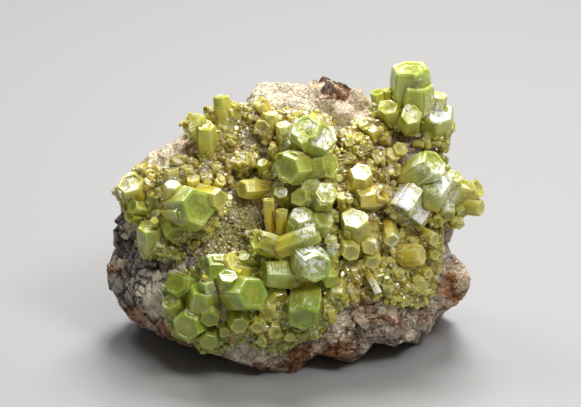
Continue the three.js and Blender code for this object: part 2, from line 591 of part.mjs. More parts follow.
// One crystal: a six-sided barrel. The slimmer ones are plain prisms.
function crystalSolid(row, grown) {
  const { foot, end } = placeCrystal(row);
  const axis = end.clone().sub(foot);
  const length = axis.length() + grown;
  const radius = row[2] + grown;
  const rounds = row[2] >= BARREL_FROM ? BARREL_ROUNDS : 1;
  const geometry = new THREE.CylinderGeometry(radius * END_DRAW, radius * FOOT_DRAW, length, SIDES, rounds);
  const position = geometry.getAttribute("position");
  for (let i = 0; i < position.count; i++)
    if (Math.abs(position.getY(i)) < length / 4 && Math.hypot(position.getX(i), position.getZ(i)) > 0)
      position.setXYZ(i, position.getX(i) * BARREL_SWELL, position.getY(i), position.getZ(i) * BARREL_SWELL);
  geometry.translate(0, length / 2, 0);
  geometry.rotateY((hash(row[0], row[1], row[2]) * 2 * Math.PI) / SIDES);
  const upright = new THREE.Vector3(0, 1, 0);
  geometry.applyQuaternion(new THREE.Quaternion().setFromUnitVectors(upright, axis.normalize()));
  geometry.translate(foot.x, foot.y, foot.z);
  return solidOf(geometry);
}

// A column through the block along the depth, over an outline on the display plane.
function columnSolid(points, spread) {
  const heart = points.reduce((s, p) => [s[0] + p[0] / points.length, s[1] + p[1] / points.length], [0, 0]);
  const shape = new THREE.Shape(
    points.map(([across, up]) => {
      const away = Math.hypot(across - heart[0], up - heart[1]);
      const share = 1 + spread / away;
      const [wideAcross, wideUp] = [(across - heart[0]) * share, (up - heart[1]) * share];
      return new THREE.Vector2(heart[0] + wideAcross, heart[1] + wideUp - FOOT_UP);
    }),
  );
  const geometry = new THREE.ExtrudeGeometry(shape, { depth: COLUMN_DEPTH, bevelEnabled: false });
  geometry.translate(0, 0, MIDDLE.deep - CRUST_STOP - COLUMN_DEPTH);
  const basis = new THREE.Matrix4().makeBasis(ACROSS, UP, DEEP);
  geometry.applyMatrix4(basis);
  return solidOf(geometry);
}

function knobSolid(knob, proud) {
  const depth = frontDepth(knob.across, knob.up);
  const geometry = new THREE.IcosahedronGeometry(knob.radius + proud, KNOB_DETAIL);
  const heart = onPlane(knob.across, knob.up, depth + knob.sink);
  geometry.scale(...KNOB_SHAPE);
  geometry.translate(heart.x, heart.y, heart.z);
  return solidOf(geometry);
}

function belowFoot() {
  const geometry = new THREE.BoxGeometry(CUT_WIDTH, CUT_WIDTH, CUT_DEPTH);
  geometry.translate(0, 0, -CUT_DEPTH / 2);
  return solidOf(geometry);
}

function quartzSolid(proud) {
  const knobs = KNOBS.map((knob) => knobSolid(knob, proud));
  return unionOf([solidOf(skinGeometry(proud, SKIN)), ...knobs]);
}

// The main body of a cut solid, without loose crumbs and without the slivers that the cuts leave.
function mainBody(solid) {
  const bodies = solid.decompose().sort((a, b) => b.volume() - a.volume());
  return solidOf(geometryOf(bodies[0])).simplify(SLIVER);
}

const quartz = quartzSolid(0);
const quartzClear = quartzSolid(CLEARANCE);
const crustSkin = solidOf(skinGeometry(CRUST_THICKNESS, CRUST));

function groupSolid(group, grown) {
  const bed = unionOf(group.beds.map((outline) => columnSolid(outline, grown)));
  const crust = crustSkin.intersect(bed);
  return unionOf([crust, ...group.crystals.map((row) => crystalSolid(row, grown))]);
}

const specimen = new THREE.Group();

function addNode(name, solid, colour, roughness) {
  const material = new THREE.MeshStandardMaterial({ color: colour, roughness, metalness: 0 });
  const mesh = new THREE.Mesh(geometryOf(solid), material);
  mesh.name = name;
  specimen.add(mesh);
}

addNode("quartz_matrix", mainBody(quartz.subtract(belowFoot())), QUARTZ_COLOUR, QUARTZ_ROUGHNESS);
let taken = quartzClear.add(belowFoot());
for (const group of GROUPS) {
  const solid = mainBody(groupSolid(group, 0).subtract(taken));
  addNode(group.name, solid, group.colour, CRYSTAL_ROUGHNESS);
  taken = taken.add(groupSolid(group, CLEARANCE));
}

export default specimen;
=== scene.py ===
"""Finish of a pyromorphite specimen: the quartz block, its crystals and their druse, and the stage."""

import math
import random

import bmesh
import bpy
import numpy as np
from bpy.props import FloatProperty, FloatVectorProperty, IntProperty, PointerProperty
from bpy.types import Operator, Panel, PropertyGroup
from mathutils import Matrix, Vector, noise
from mathutils.bvhtree import BVHTree


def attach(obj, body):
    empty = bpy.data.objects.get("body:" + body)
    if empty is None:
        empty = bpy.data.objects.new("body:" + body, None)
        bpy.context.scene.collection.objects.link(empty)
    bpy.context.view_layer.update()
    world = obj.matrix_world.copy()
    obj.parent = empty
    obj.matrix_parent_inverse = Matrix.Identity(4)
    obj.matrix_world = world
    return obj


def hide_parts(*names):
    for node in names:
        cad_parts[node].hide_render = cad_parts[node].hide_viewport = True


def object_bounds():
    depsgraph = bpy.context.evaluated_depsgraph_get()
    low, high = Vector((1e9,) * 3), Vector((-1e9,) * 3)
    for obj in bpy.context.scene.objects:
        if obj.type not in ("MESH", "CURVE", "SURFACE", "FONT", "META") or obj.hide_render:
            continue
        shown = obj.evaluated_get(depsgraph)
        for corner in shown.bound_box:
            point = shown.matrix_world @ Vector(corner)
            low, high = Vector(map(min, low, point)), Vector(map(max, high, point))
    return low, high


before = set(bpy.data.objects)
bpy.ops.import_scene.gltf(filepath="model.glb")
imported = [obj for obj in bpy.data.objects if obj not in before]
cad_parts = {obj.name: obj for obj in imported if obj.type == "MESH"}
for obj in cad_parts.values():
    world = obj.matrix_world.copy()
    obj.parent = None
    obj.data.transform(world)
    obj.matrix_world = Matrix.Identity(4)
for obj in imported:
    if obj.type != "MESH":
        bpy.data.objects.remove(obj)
CAD_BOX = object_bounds()

bl_info = {
    "name": "Pyromorphite Specimen",
    "version": (1, 0, 0),
    "blender": (4, 5, 0),
    "location": "3D View > Sidebar > Specimen",
    "description": "Dresses the solids of a pyromorphite specimen and sets its stage",
    "category": "Object",
}

MM = 0.001
ROOT = "root"
QUARTZ_NODE = "quartz_matrix"
SIXTH_TURN = math.pi / 3

# Seeds of the noise patterns, of the fine grains, and of the first group of crystals.
NOISE_SEED = 4
SUGAR_SEED = 5
GROWTH_SEED = 11

# The display plane leans back. A place on it is across (to the right), up (along the lean) and deep
# (into the block), in millimetres, and up is counted from the lowest front edge.
LEAN = math.radians(25)
FOOT_UP = 9.3
ACROSS = Vector((1, 0, 0))
UP = Vector((0, math.sin(LEAN), math.cos(LEAN)))
DEEP = Vector((0, math.cos(LEAN), -math.sin(LEAN)))
# A depth well before the quartz, and the height that a foot beside the quartz is drawn towards, by
# what share of its way in each step.
OUTSIDE = -60
HEART_UP = 30
NUDGE = 0.04

# Widths of a crystal at its waist, its end and its foot, as shares of its radius.
BARREL_SWELL = 1.1
END_DRAW = 0.97
FOOT_DRAW = 0.88
# Radii in millimetres from which a crystal has a waist, has a worn end, and bears smaller crystals.
BARREL_FROM = 1.8
LARGE_FROM = 1.6
BEARING_FROM = 2.3
# How deep a crystal's foot sits in the quartz, in millimetres.
FOOT_DEPTH = 1.0
# A worn end, as shares of the radius: how far down and how far out it reaches, and its plates' size.
END_ZONE = 0.14
END_REACH = 0.85
PLATE_SIZE = 0.34
# Wear of a large crystal's surface, as shares of the radius: the size of a dent, and its depth.
WEAR_SIZE = 0.7
WEAR = 0.014
# How far up a face has to look to count as an end, and the angle from which an edge is sharp.
END_FACING = 0.55
CREASE = math.radians(17)

# How much paler the crystals get with each millimetre up, by how much chance moves it, and the palest.
# The rise with height is partly the upper crystals' own paler green, partly painted light that falls from
# above.
PALE_RISE = 0.013
PALE_CHANCE = 0.4
PALEST = 0.85
# A crystal of the even radius is as yellow as its row says. A smaller one is yellower by so much with
# each millimetre, and chance moves it by so much.
EVEN_RADIUS = 2.2
SIZE_YELLOW = 0.12
YELLOW_CHANCE = 0.06
# Druse is so much yellower than the crystal next to it, and chance moves it by so much.
DRUSE_YELLOW = 0.3
DRUSE_CHANCE = 0.15
# The palest that druse gets by chance, which leaves a few white as painted sparkle, and the share of it that
# is white amid a milky spot.
DRUSE_PALEST = 0.94
MILKY_DRUSE = 0.25
# Druse below this height turns olive, by so much with each millimetre.
LOW_FROM = 33
LOW_OLIVE = 0.025

# Druse keeps to faces of a solid that look away from the quartz and lie close to it, in millimetres.
DRUSE_REACH = 2.6
DRUSE_FACING = 0.3
# The smallest druse as a share of the largest, and how deep its middle sits, in radii.
DRUSE_LEAST = 0.38
DRUSE_SINK = (0.9, 1.9)
# The radii of the fine grains in millimetres, and how deep their middle sits, in radii.
SUGAR_RADII = (0.16, 0.4)
SUGAR_SINK = 0.6
# How far druse and fine grains lean at random.
DRUSE_SPREAD = 0.28
SUGAR_SPREAD = 0.6
# The lengths of the stout and the slim druse crystal in radii, and the chance from which one is slim.
DRUSE_LENGTHS = (2.0, 2.8)
SLIM_FROM = 0.6
# Edge length of the crust's mesh, in millimetres.
CRUST_VOXEL = 0.5

# How far a face of the quartz may look into the block to count as front, and to hold fine grains. Below
# zero it looks out.
FRONT_FACING = 0.1
SUGAR_FACING = -0.15
# How far behind the solid's front fine grains may lie, in millimetres, and the weakest spot for them.
FRONT_SKIN = 3.0
SUGAR_LEAST = 0.1
# The bend of the quartz's broken faces and its size, and the height over which the flat foot eases
# into them, in millimetres.
BEND = 0.5
BEND_SIZE = 2.5
FOOT_EASE = 1.2
# Widths of the seams round broken blocks and of the pits round grains, as shares of their sizes.
SEAM_WIDTH = 0.16
PIT_WIDTH = 0.22
# How much higher the lumps on the crest are than the knobs on the front.
CREST_STRETCH = 1.8
# The most that rust and the painted glint are laid on, where one is in full, so that strong spots stay wide.
STRONGEST = 1.5
# The values stored on the quartz for its material.
QUARTZ_VALUES = ("rust", "grey", "hollow", "block", "milky")

# The floor's half width and how far it lies under the specimen, in metres and millimetres.
FLOOR_HALF = 3
FLOOR_DROP = 0.02
# The lights: name, place and size in metres, and share of the largest light's power.
LIGHTS = (
    ("back", (0.06, 0.20, 0.46), 0.24, 1.0),
    ("top", (0.12, -0.18, 0.47), 0.26, 0.24),
    ("right", (0.24, -0.25, 0.45), 0.12, 0.3),
    ("left", (-0.22, 0.15, 0.45), 0.12, 0.16),
)
# The height in millimetres that the lights point at, and the light from all round.
LIGHT_AIM = 25
SKY_COLOUR = (0.95, 0.96, 1, 1)
SKY_STRENGTH = 0.1
# The middle of the view on the display plane, and the camera's sensor width in millimetres.
VIEW_MIDDLE = (0.1, 35.3, -12)
SENSOR_WIDTH = 36

# The crystals of each group: for each, how yellow it is, the across and up of its end face, its radius
# and length, its heading on the plane and lift out of it in degrees, and how far its foot stands off
# the quartz.
GROWTHS = {
    "centre_crystals": (
        (0.0, 5.2, 22.6, 3.7, 8.4, 318, 58, 1),
        (0.1, 8.2, 19.8, 1.9, 6.7, 300, 38, 0),
        (0.12, 5.4, 29.8, 2.1, 9.6, 22, 12, 5),
        (0.12, -5.2, 21.6, 3.0, 10.6, 180, 18, 1.6),
        (0.12, 8.0, 28.8, 1.4, 6.7, 93, 20, 2.4),
        (0.12, 2.2, 33.4, 2.5, 7.8, 80, 46, 0),
        (0.12, 6.6, 32.4, 2.5, 7.8, 45, 46, 0),
        (0.12, 2.4, 25.6, 1.8, 5.6, 60, 50, 0),
        (0.12, -2.6, 27.6, 2.1, 6.7, 110, 45, 0),
        (0.25, -0.8, 42.0, 3.3, 9, 190, 60, 0.6),
        (0.25, 8.2, 42.8, 3.0, 9.5, 15, 38, 0.8),
        (0.25, 7.2, 37.4, 2.7, 8.4, 50, 60, 0.8),
        (0.25, 4.0, 38.0, 2.8, 8.4, 120, 60, 0.6),
        (0.25, 1.6, 36.6, 2.0, 8, 170, 56, 0),
        (0.25, 3.0, 50.2, 3.5, 9, 110, 58, 0.6),
        (0.25, 6.4, 48.6, 3.4, 9, 40, 58, 0.6),
        (0.25, 4.8, 46.8, 2.7, 8.4, 275, 55, 0),
        (0.25, -1.8, 37.6, 1.7, 6.2, 110, 50, 0),
        (0.25, 0.4, 48.0, 1.5, 5.6, 60, 45, 0),
        (0.3, -5.4, 43.4, 1.2, 5.6, 100, 48, 0.5),
        (0.35, -6.6, 28.2, 2.4, 9, 160, 30, 1.2),
        (0.55, -9.6, 38.0, 2.1, 7.3, 185, 36, 0),
        (0.6, -3.4, 46.2, 1.0, 5, 90, 42, 0.5),
        (0.6, -4.0, 53.4, 1.8, 6.7, 85, 25, 0.6),
        (0.6, -1.4, 51.0, 1.6, 7.3, 92, 28, 0.4),
        (0.7, -1.6, 34.0, 1.4, 6.7, 90, 25, 1),
        (0.7, -6.2, 55.4, 1.7, 5.6, 125, 38, 0),
        (0.7, -5.6, 50.2, 1.8, 5, 230, 58, 0),
        (0.75, -4.2, 36.2, 1.3, 7.8, 93, 18, 1.6),
        (0.95, 14.0, 41.6, 2.5, 6.7, 82, 50, 0),
        (0.95, 13.0, 36.0, 2.3, 8.4, 188, 26, 0.6),
        (0.95, 18.2, 37.2, 1.7, 5.6, 50, 45, 0),
        (0.95, 10.4, 37.0, 1.5, 6.2, 100, 38, 0),
        (0.95, 11.6, 47.6, 1.2, 3.9, 150, 55, 0),
        (0.95, 13.4, 48.6, 1.3, 3.9, 100, 55, 0),
        (0.95, 15.0, 47.4, 1.3, 3.9, 40, 60, 0),
        (0.95, 12.4, 45.6, 1.2, 3.9, 200, 55, 0),
        (0.95, 14.4, 45.6, 1.3, 3.9, 300, 60, 0),
        (0.95, 11.6, 44.2, 1.2, 3.9, 150, 50, 0),
        (0.95, 17.4, 44.8, 1.5, 3.9, 80, 60, 0),
        (0.95, 16.4, 42.8, 1.3, 3.9, 30, 60, 0),
        (0.95, 20.4, 45.2, 1.6, 4.5, 60, 60, 0),
        (0.95, 18.6, 41.6, 1.4, 3.9, 90, 60, 0),
        (0.95, 20.8, 42.0, 1.5, 3.9, 10, 60, 0),
        (0.95, 16.4, 50.6, 1.8, 4.5, 100, 50, 0),
        (0.95, 14.4, 51.4, 1.3, 3.9, 120, 50, 0),
        (0.95, 21.8, 46.2, 1.7, 4.5, 60, 58, 0),
        (0.95, 18.4, 47.4, 1.3, 3.9, 250, 55, 0),
    ),
    "crown_crystals": (
        (0.22, 23.6, 62.2, 4.1, 11, 95, 27, 0.6),
        (0.22, 25, 59.0, 3.5, 6.6, 88, 26, 3.4),
        (0.22, 23.8, 52.8, 2.3, 6.7, 80, 68, 2),
        (0.22, 21.4, 50.8, 1.9, 5, 230, 62, 0),
        (0.22, 24.0, 49.6, 1.7, 5, 275, 60, 0.6),
        (0.22, 17.2, 57.4, 1.6, 5.6, 100, 30, 0),
        (0.22, 19.4, 57.8, 1.1, 5, 90, 30, 0),
        (0.22, 19.2, 54.4, 2.2, 6.2, 110, 55, 0),
        (0.22, 29.2, 53.4, 3.4, 6.8, 108, 52, 0.8),
        (0.22, 29.6, 56.8, 1.7, 7.3, 85, 30, 0),
        (0.22, 27.0, 49.2, 0.8, 3.4, 90, 30, 0.6),
        (0.22, 31.0, 46.6, 1.1, 3.4, 320, 40, 0),
        (0.22, 29.2, 46.8, 1.0, 3.4, 290, 45, 0),
        (0.22, 26.8, 47.0, 1.1, 3.4, 270, 50, 0),
        (0.22, 18.6, 51.2, 1.1, 3.4, 200, 60, 0),
        (0.22, 16.8, 54.0, 1.3, 3.9, 150, 55, 0),
        (0.22, 21.6, 56.6, 1.7, 6.2, 110, 40, 0),
    ),
    "right_crystals": (
        (0.25, 28.4, 43.4, 3.2, 9, 35, 42, 0.6),
        (0.25, 24.2, 42.0, 2.6, 6.7, 130, 45, 0.4),
        (0.25, 28.6, 39.4, 3.2, 6.2, 80, 50, 2.4),
        (0.25, 32.6, 40.8, 2.0, 7.3, 60, 36, 0.6),
        (0.25, 31.2, 34.6, 1.8, 7.3, 222, 20, 2),
        (0.25, 34.6, 39.2, 1.9, 7.3, 55, 30, 0.6),
        (0.25, 21.6, 33.6, 2.6, 8.4, 236, 22, 2.6),
        (0.25, 21.2, 38.0, 1.6, 5.6, 130, 28, 1.2),
        (0.25, 26.8, 33.0, 1.1, 3.9, 310, 40, 0.8),
        (0.25, 31.0, 32.6, 2.0, 6.7, 275, 38, 0),
        (0.25, 34.4, 33.2, 1.7, 6.2, 300, 35, 0),
        (0.25, 33.4, 30.8, 1.6, 6.2, 285, 25, 0),
        (0.25, 28.8, 31.6, 1.4, 5.6, 265, 45, 0),
        (0.4, 24.2, 31.4, 2.3, 7.8, 238, 24, 1.6),
        (0.4, 12.6, 32.6, 2.9, 7.3, 95, 50, 0),
        (0.55, 37.4, 38.4, 2.1, 7.3, 25, 32, 0),
        (0.62, 12.0, 25.6, 2.1, 5.6, 295, 60, 0),
        (0.62, 15.6, 26.6, 1.8, 5.6, 270, 70, 0),
        (0.62, 20.0, 27.8, 1.7, 6.2, 280, 50, 0.4),
        (0.62, 16.2, 23.6, 1.8, 5, 285, 55, 0),
        (0.62, 17.4, 17.6, 0.9, 5.6, 298, 10, 3.2),
        (0.62, 17.8, 20.2, 1.6, 5, 300, 50, 0),
        (0.62, 11.8, 18.2, 0.9, 3.4, 110, 40, 1.2),
        (0.62, 19.0, 19.2, 0.9, 3.4, 100, 40, 1.2),
        (0.62, 12.2, 20.6, 1.5, 4.5, 250, 55, 0),
        (0.62, 21.0, 21.0, 1.3, 4.5, 280, 60, 0),
        (0.62, 25.6, 18.8, 1.9, 4.5, 290, 65, 0),
        (0.62, 27.4, 21.4, 1.2, 3.9, 330, 55, 0),
        (0.62, 23.2, 18.0, 1.4, 3.9, 270, 60, 0),
        (0.62, 24.2, 22.2, 1.3, 4.5, 240, 55, 0),
        (0.62, 16.4, 31.0, 0.9, 5, 100, 25, 1),
        (0.62, 28.6, 28.2, 1.6, 5, 330, 45, 0),
        (0.62, 28.8, 25.0, 1.2, 4.5, 340, 45, 0),
        (0.62, 23.4, 27.4, 1.5, 5, 200, 50, 0),
        (0.62, 14.0, 22.0, 1.3, 4.5, 270, 55, 0),
        (0.7, 38.0, 34.4, 1.9, 7.3, 348, 25, 0),
        (0.7, 19.8, 35.0, 1.8, 6.2, 140, 32, 0.8),
        (0.7, 36.4, 36.6, 1.6, 5.6, 10, 50, 0),
        (0.85, 26.2, 25.2, 2.1, 6.7, 5, 26, 1),
    ),
    "left_crystals": (
        (0.2, -23.0, 39.2, 1.9, 7.8, 88, 34, 1.2),
        (0.2, -17.6, 34.6, 4.2, 9.2, 5, 58, 0.8),
        (0.2, -27.6, 31.0, 2.8, 6.4, 95, 36, 0.8),
        (0.2, -21.8, 29.0, 2.8, 6.7, 280, 42, 0),
        (0.2, -26.8, 37.2, 1.6, 7.3, 72, 24, 0.8),
        (0.2, -26.6, 32.0, 0.9, 5.6, 90, 60, 1.4),
        (0.2, -25.6, 25.8, 1.9, 5.6, 262, 36, 0),
        (0.2, -28.2, 26.2, 1.7, 5, 240, 40, 0),
        (0.2, -23.4, 25.2, 1.4, 4.5, 280, 40, 0),
        (0.2, -31.2, 34.8, 1.6, 5.6, 165, 45, 0),
        (0.2, -31.8, 32.8, 1.5, 5, 185, 45, 0),
        (0.2, -16.6, 30.8, 0.9, 3.9, 300, 50, 0),
        (0.2, -24.8, 33.2, 1.4, 5.6, 90, 40, 0.6),
        (0.7, -31.6, 39.6, 2.9, 6.7, 115, 50, 0),
        (0.8, -34.4, 38.4, 1.2, 5, 120, 30, 0),
        (0.8, -27.0, 40.0, 1.5, 4.5, 60, 50, 0),
        (0.8, -28.6, 42.2, 1.3, 3.9, 100, 40, 0),
        (0.8, -30.8, 41.6, 1.2, 3.9, 120, 40, 0),
        (0.8, -29.4, 38.4, 1.3, 4.5, 290, 50, 0),
        (0.8, -13.4, 36.0, 2.4, 7.8, 352, 36, 0.6),
    ),
    "lower_left_crystals": (
        (0.1, -7.0, 17.8, 3.8, 7.8, 2, 56, 1.4),
        (0.1, -16.6, 18.8, 3.0, 6.6, 80, 34, 2.0),
        (0.1, -16.8, 22.6, 2.9, 9.6, 174, 22, 1.2),
        (0.1, -12.0, 21.4, 2.0, 5.6, 85, 50, 2.6),
        (0.1, -16.2, 20.6, 1.8, 5.6, 100, 40, 1.4),
        (0.1, -22.4, 19.6, 2.5, 5.6, 165, 58, 0),
        (0.1, -23.4, 16.2, 2.2, 5.6, 130, 52, 0),
        (0.1, -20.4, 11.0, 3.1, 6.7, 215, 66, 0),
        (0.1, -16.0, 8.0, 2.0, 4.5, 255, 62, 0),
        (0.1, -9.8, 11.4, 2.0, 6.2, 285, 55, 0),
        (0.1, -15.6, 12.6, 2.2, 5.6, 270, 50, 0),
        (0.1, -19.2, 18.8, 0.8, 4.5, 120, 50, 0.4),
        (0.1, -9.0, 25.0, 1.3, 5.6, 115, 45, 0),
        (0.1, -12.8, 10.0, 1.3, 3.9, 260, 55, 0),
        (0.1, 2.6, 12.6, 3.5, 8.4, 264, 45, 0.8),
        (0.5, 9.0, 16.6, 2.0, 5.6, 260, 50, 0),
        (0.5, 7.6, 13.6, 1.3, 4.5, 280, 50, 0),
        (0.5, -2.0, 16.0, 2.4, 5.6, 300, 45, 0),
        (0.5, -4.4, 13.6, 2.0, 5, 270, 55, 0),
        (0.5, -6.4, 11.0, 1.6, 4.5, 265, 55, 0),
        (0.5, -3.0, 10.0, 1.7, 3.9, 270, 60, 0),
        (0.5, 0, 9, 1.3, 3.9, 280, 55, 0),
        (0.5, -5.6, 8.0, 1.2, 3.4, 260, 55, 0),
        (0.6, -10.6, 23.8, 2.5, 6.7, 40, 35, 0),
    ),
    "upper_left_crystals": (
        (0.45, -13.6, 56.6, 2.1, 8.4, 100, 12, 0),
        (0.45, -19.2, 51.6, 2.4, 6.7, 125, 42, 0),
        (0.45, -16.6, 50.8, 2.1, 8.4, 92, 36, 0),
        (0.45, -10.4, 55.0, 1.5, 6.2, 82, 18, 0),
        (0.45, -12.4, 52.8, 1.4, 5, 200, 50, 0),
        (0.45, -16.4, 53.6, 1.0, 4.5, 120, 25, 0),
        (0.45, -14.4, 48.6, 1.3, 4.5, 330, 50, 0),
        (0.45, -11.2, 51.4, 1.1, 3.4, 300, 60, 0),
        (0.45, -11.6, 47.8, 1.0, 3.4, 270, 60, 0),
        (0.45, -16.4, 46.0, 1.6, 4.5, 250, 55, 0),
        (0.8, -23.2, 42.6, 1.8, 5, 98, 28, 0),
        (0.8, -20.2, 42.6, 1.4, 5, 80, 28, 0),
        (0.8, -22.0, 44.2, 1.3, 4.5, 100, 30, 0),
        (0.8, -19.0, 40.4, 1.5, 4.5, 100, 40, 0),
        (0.8, -16.4, 40.8, 1.3, 3.9, 80, 45, 0),
        (0.8, -13.6, 39.8, 1.3, 3.9, 60, 45, 0),
        (0.8, -9.4, 44.4, 1.9, 5, 95, 50, 0),
        (0.8, -11.4, 44.0, 1.4, 4.5, 140, 50, 0),
        (0.8, -7.6, 44.4, 1.3, 4.5, 40, 50, 0),
        (0.8, -10.0, 42.4, 1.2, 3.4, 270, 50, 0),
        (0.8, -15.0, 42.4, 1.2, 3.4, 90, 50, 0),
    ),
}

# Where the quartz is stained or worn, on the display plane: across, up, width, and how strongly.
RUST_SPOTS = (
    (-31.5, 13, 4, 1.3),
    (-24.5, 9, 4, 1.3),
    (-17.5, 6, 3.5, 1.5),
    (-7, 2.4, 3, 1.5),
    (2, 4, 5, 1.4),
    (-35.5, 22, 2, 1.2),
    (10.5, 5, 4, 1.6),
    (15.5, 14, 3.5, 1.0),
    (21, 12, 2.5, 1.0),
    (35, 17.5, 3, 1.2),
    (9.5, 58.6, 4.4, 2.5),
    (-20.5, 47, 3, 1.0),
    (-10, 27, 7, 0.55),
    (33, 20, 6, 0.9),
    (26, 14, 6, 0.5),
    (20, 25, 3, 0.8),
    (-12, 50, 3, 0.7),
)
GREY_SPOTS = (
    (-34, 24, 9, 1.0),
    (-30, 12, 8, 0.9),
    (-9, 5.5, 6, 0.6),
    (20, 10, 4, 0.5),
    (-22, 22, 8, 0.5),
)
DARK_SPOTS = (
    (7.2, 59.2, 2.7, 1.8),
    (11.0, 58.4, 2.4, 1.6),
    (-34.5, 30, 3.5, 1.0),
    (-29, 25, 3.5, 0.7),
    (-2, 16.8, 2.5, 0.9),
    (12.5, 9, 2.6, 0.8),
    (-36, 18, 4, 0.7),
    (-8, 39, 4, 0.5),
    (31, 34, 4, 0.5),
)
MILKY_SPOTS = (
    (7, 55.5, 4.2, 1.2),
    (10.2, 52.6, 3.8, 1.2),
    (14, 55, 3, 1.0),
    (-4, 58.5, 5, 0.8),
    (1, 57, 4, 0.7),
    (-30, 43, 5, 0.9),
    (-24.5, 45, 4.5, 1.2),
    (-27, 16.5, 4.5, 0.75),
    (20.5, 10, 3, 0.4),
    (20.5, 14.2, 2, 0.4),
    (9.5, 11.5, 2.4, 0.4),
    (-11, 5.5, 3, 0.6),
    (-5.5, 5.5, 3, 0.6),
    (35, 21, 2.5, 0.9),
    (-8, 49.5, 4, 0.8),
    (16.5, 38.5, 3, 0.6),
)
SUGAR_SPOTS = (
    (-10, 31, 4.5, 1.0),
    (-15, 27, 3.5, 0.4),
    (-9, 39, 4, 0.8),
    (-8, 50, 4, 0.8),
    (17, 37, 4, 1.0),
)

# Where white glints are painted on the crystals: painted highlights that stand in for reflections of the
# lights.
PAINTED_GLINT_SPOTS = (
    (-0.8, 52.0, 3.0, 0.9),
    (-0.5, 47.5, 2.0, 0.8),
    (6.6, 47.2, 2.4, 0.9),
    (-23.4, 39.6, 1.8, 1.2),
    (22.0, 35.6, 3.2, 1.2),
    (25.6, 32.8, 2.2, 1.0),
    (29.6, 40.4, 2.8, 1.2),
    (31.4, 36.6, 2.6, 1.1),
    (25.4, 42.6, 1.8, 0.8),
    (29.4, 51.8, 2.4, 1.1),
    (28.8, 55.2, 2.0, 0.9),
    (26.6, 60.0, 1.2, 0.8),
    (4.2, 24.2, 3.0, 1.2),
    (8.4, 27.0, 1.5, 1.0),
    (3.4, 31.0, 2.2, 0.9),
    (1.4, 33.6, 1.6, 0.7),
    (6.8, 38.8, 1.8, 0.8),
    (-15.2, 18.4, 1.4, 1.0),
    (12.4, 32.0, 1.6, 0.8),
    (17.0, 18.6, 1.8, 1.2),
    (20.8, 28.0, 1.4, 0.9),
    (17.0, 27.2, 1.2, 0.8),
)

# Rounded knobs of milky quartz: across, up and radius.
KNOBS = (
    (7.4, 56.0, 2.4),
    (10.4, 52.8, 2.2),
    (13.4, 55.4, 1.6),
    (3.4, 57.8, 1.8),
    (10.8, 57.4, 1.5),
    (-1.0, 59.0, 1.7),
    (-24.6, 45.6, 1.6),
    (-27.8, 44.2, 1.5),
    (-21.6, 46.8, 1.3),
)
# Dark, rusty lumps on the crest.
CREST_KNOBS = (
    (5.0, 58.2, 1.5),
    (7.6, 58.8, 2.1),
    (10.6, 58.0, 1.9),
    (13.2, 56.8, 1.7),
)


def colour_value(name, description, default):
    return FloatVectorProperty(
        name=name, description=description, default=default, subtype="COLOR", min=0, max=1
    )


def length_value(name, description, millimetres):
    return FloatProperty(name=name, description=description, default=millimetres * MM, unit="LENGTH")


class QuartzSettings(PropertyGroup):
    """Sizes and colours of the quartz block."""

    voxel: length_value("Mesh Size", "Edge length of the block's fine mesh", 0.42)
    block_size: length_value("Block Size", "Size of the broken blocks", 3.4)
    block_relief: length_value("Block Relief", "How deep the broken blocks are cut", 1.1)
    swell: length_value("Swell", "How far the uncut faces stand over the solid's own", 0.45)
    grain_size: length_value("Grain Size", "Size of the quartz grains", 1.2)
    grain_relief: length_value("Grain Relief", "How deep the grains are cut", 0.45)
    cream: colour_value("Cream", "Clean milky quartz", (0.96, 0.78, 0.57))
    grey: colour_value("Grey", "Greyish quartz", (0.52, 0.49, 0.43))
    milky: colour_value("Milky", "Pure milky quartz", (0.78, 0.68, 0.50))
    tan: colour_value("Tan", "Stained grains", (0.72, 0.44, 0.21))
    slate: colour_value("Slate", "Dark grey quartz", (0.13, 0.115, 0.10))
    slab: colour_value("Slab", "Larger pale blocks", (0.74, 0.69, 0.57))
    rust: colour_value("Rust", "Iron stain", (0.42, 0.15, 0.03))
    dark: colour_value("Cracks", "Filling of the cracks", (0.03, 0.022, 0.018))


class CrystalSettings(PropertyGroup):
    """Sizes and colours of the crystals."""

    bevel: FloatProperty(
        name="Edge Round",
        description="Bevel of a prism edge as a share of its radius",
        default=0.07,
        min=0,
        max=0.3,
    )
    druse_density: FloatProperty(
        name="Druse Density",
        description="Small crystals on a square millimetre of crust",
        default=2.6,
        min=0,
        soft_max=4,
    )
    sugar_count: IntProperty(
        name="Grain Count",
        description="How many fine grains lie on the open quartz",
        default=1500,
        min=0,
        soft_max=6000,
    )
    druse_radius: length_value("Druse Size", "Radius of the largest small crystals", 0.9)
    crust_shrink: length_value("Crust Sink", "How far the crust lies under the solid's face", 0.9)
    green: colour_value("Green", "Colour of the green crystals", (0.25, 0.37, 0.03))
    leaf: colour_value("Leaf Green", "Colour of the palest green crystals", (0.52, 0.61, 0.12))
    yellow: colour_value("Yellow", "Colour of the yellow crystals", (0.82, 0.58, 0.04))
    # Colour of the painted warm shade at the feet of the yellow crystals.
    amber_foot_shade: colour_value("Amber", "Foot of the yellow crystals", (0.34, 0.17, 0.02))
    olive: colour_value("Olive", "Colour deep in a crystal", (0.17, 0.20, 0.02))
    # Colour of the painted shade in the gaps, where crystals meet the crust and each other.
    gap: colour_value("Gap", "Shade in the gaps at the feet", (0.07, 0.05, 0.008))
    pale: colour_value("Pale Edge", "Frosted edges and sides", (0.72, 0.78, 0.34))
    # Colour of the nearly white crystals: amid milky spots their own white, elsewhere painted sparkle.
    wax_and_sparkle: colour_value("Wax", "The few crystals that are nearly white", (0.88, 0.84, 0.60))
    frost: colour_value("Frost", "Frosted ends", (0.74, 0.78, 0.55))
    # Colour of the painted highlight on faces that look up.
    painted_top_highlight: colour_value("Bloom", "Faces that look up", (0.86, 0.88, 0.72))
    # Colour of the painted glint, a white highlight painted on the crystals.
    painted_glint: colour_value("Glint", "Crushed, glittering surface", (0.94, 0.97, 0.88))


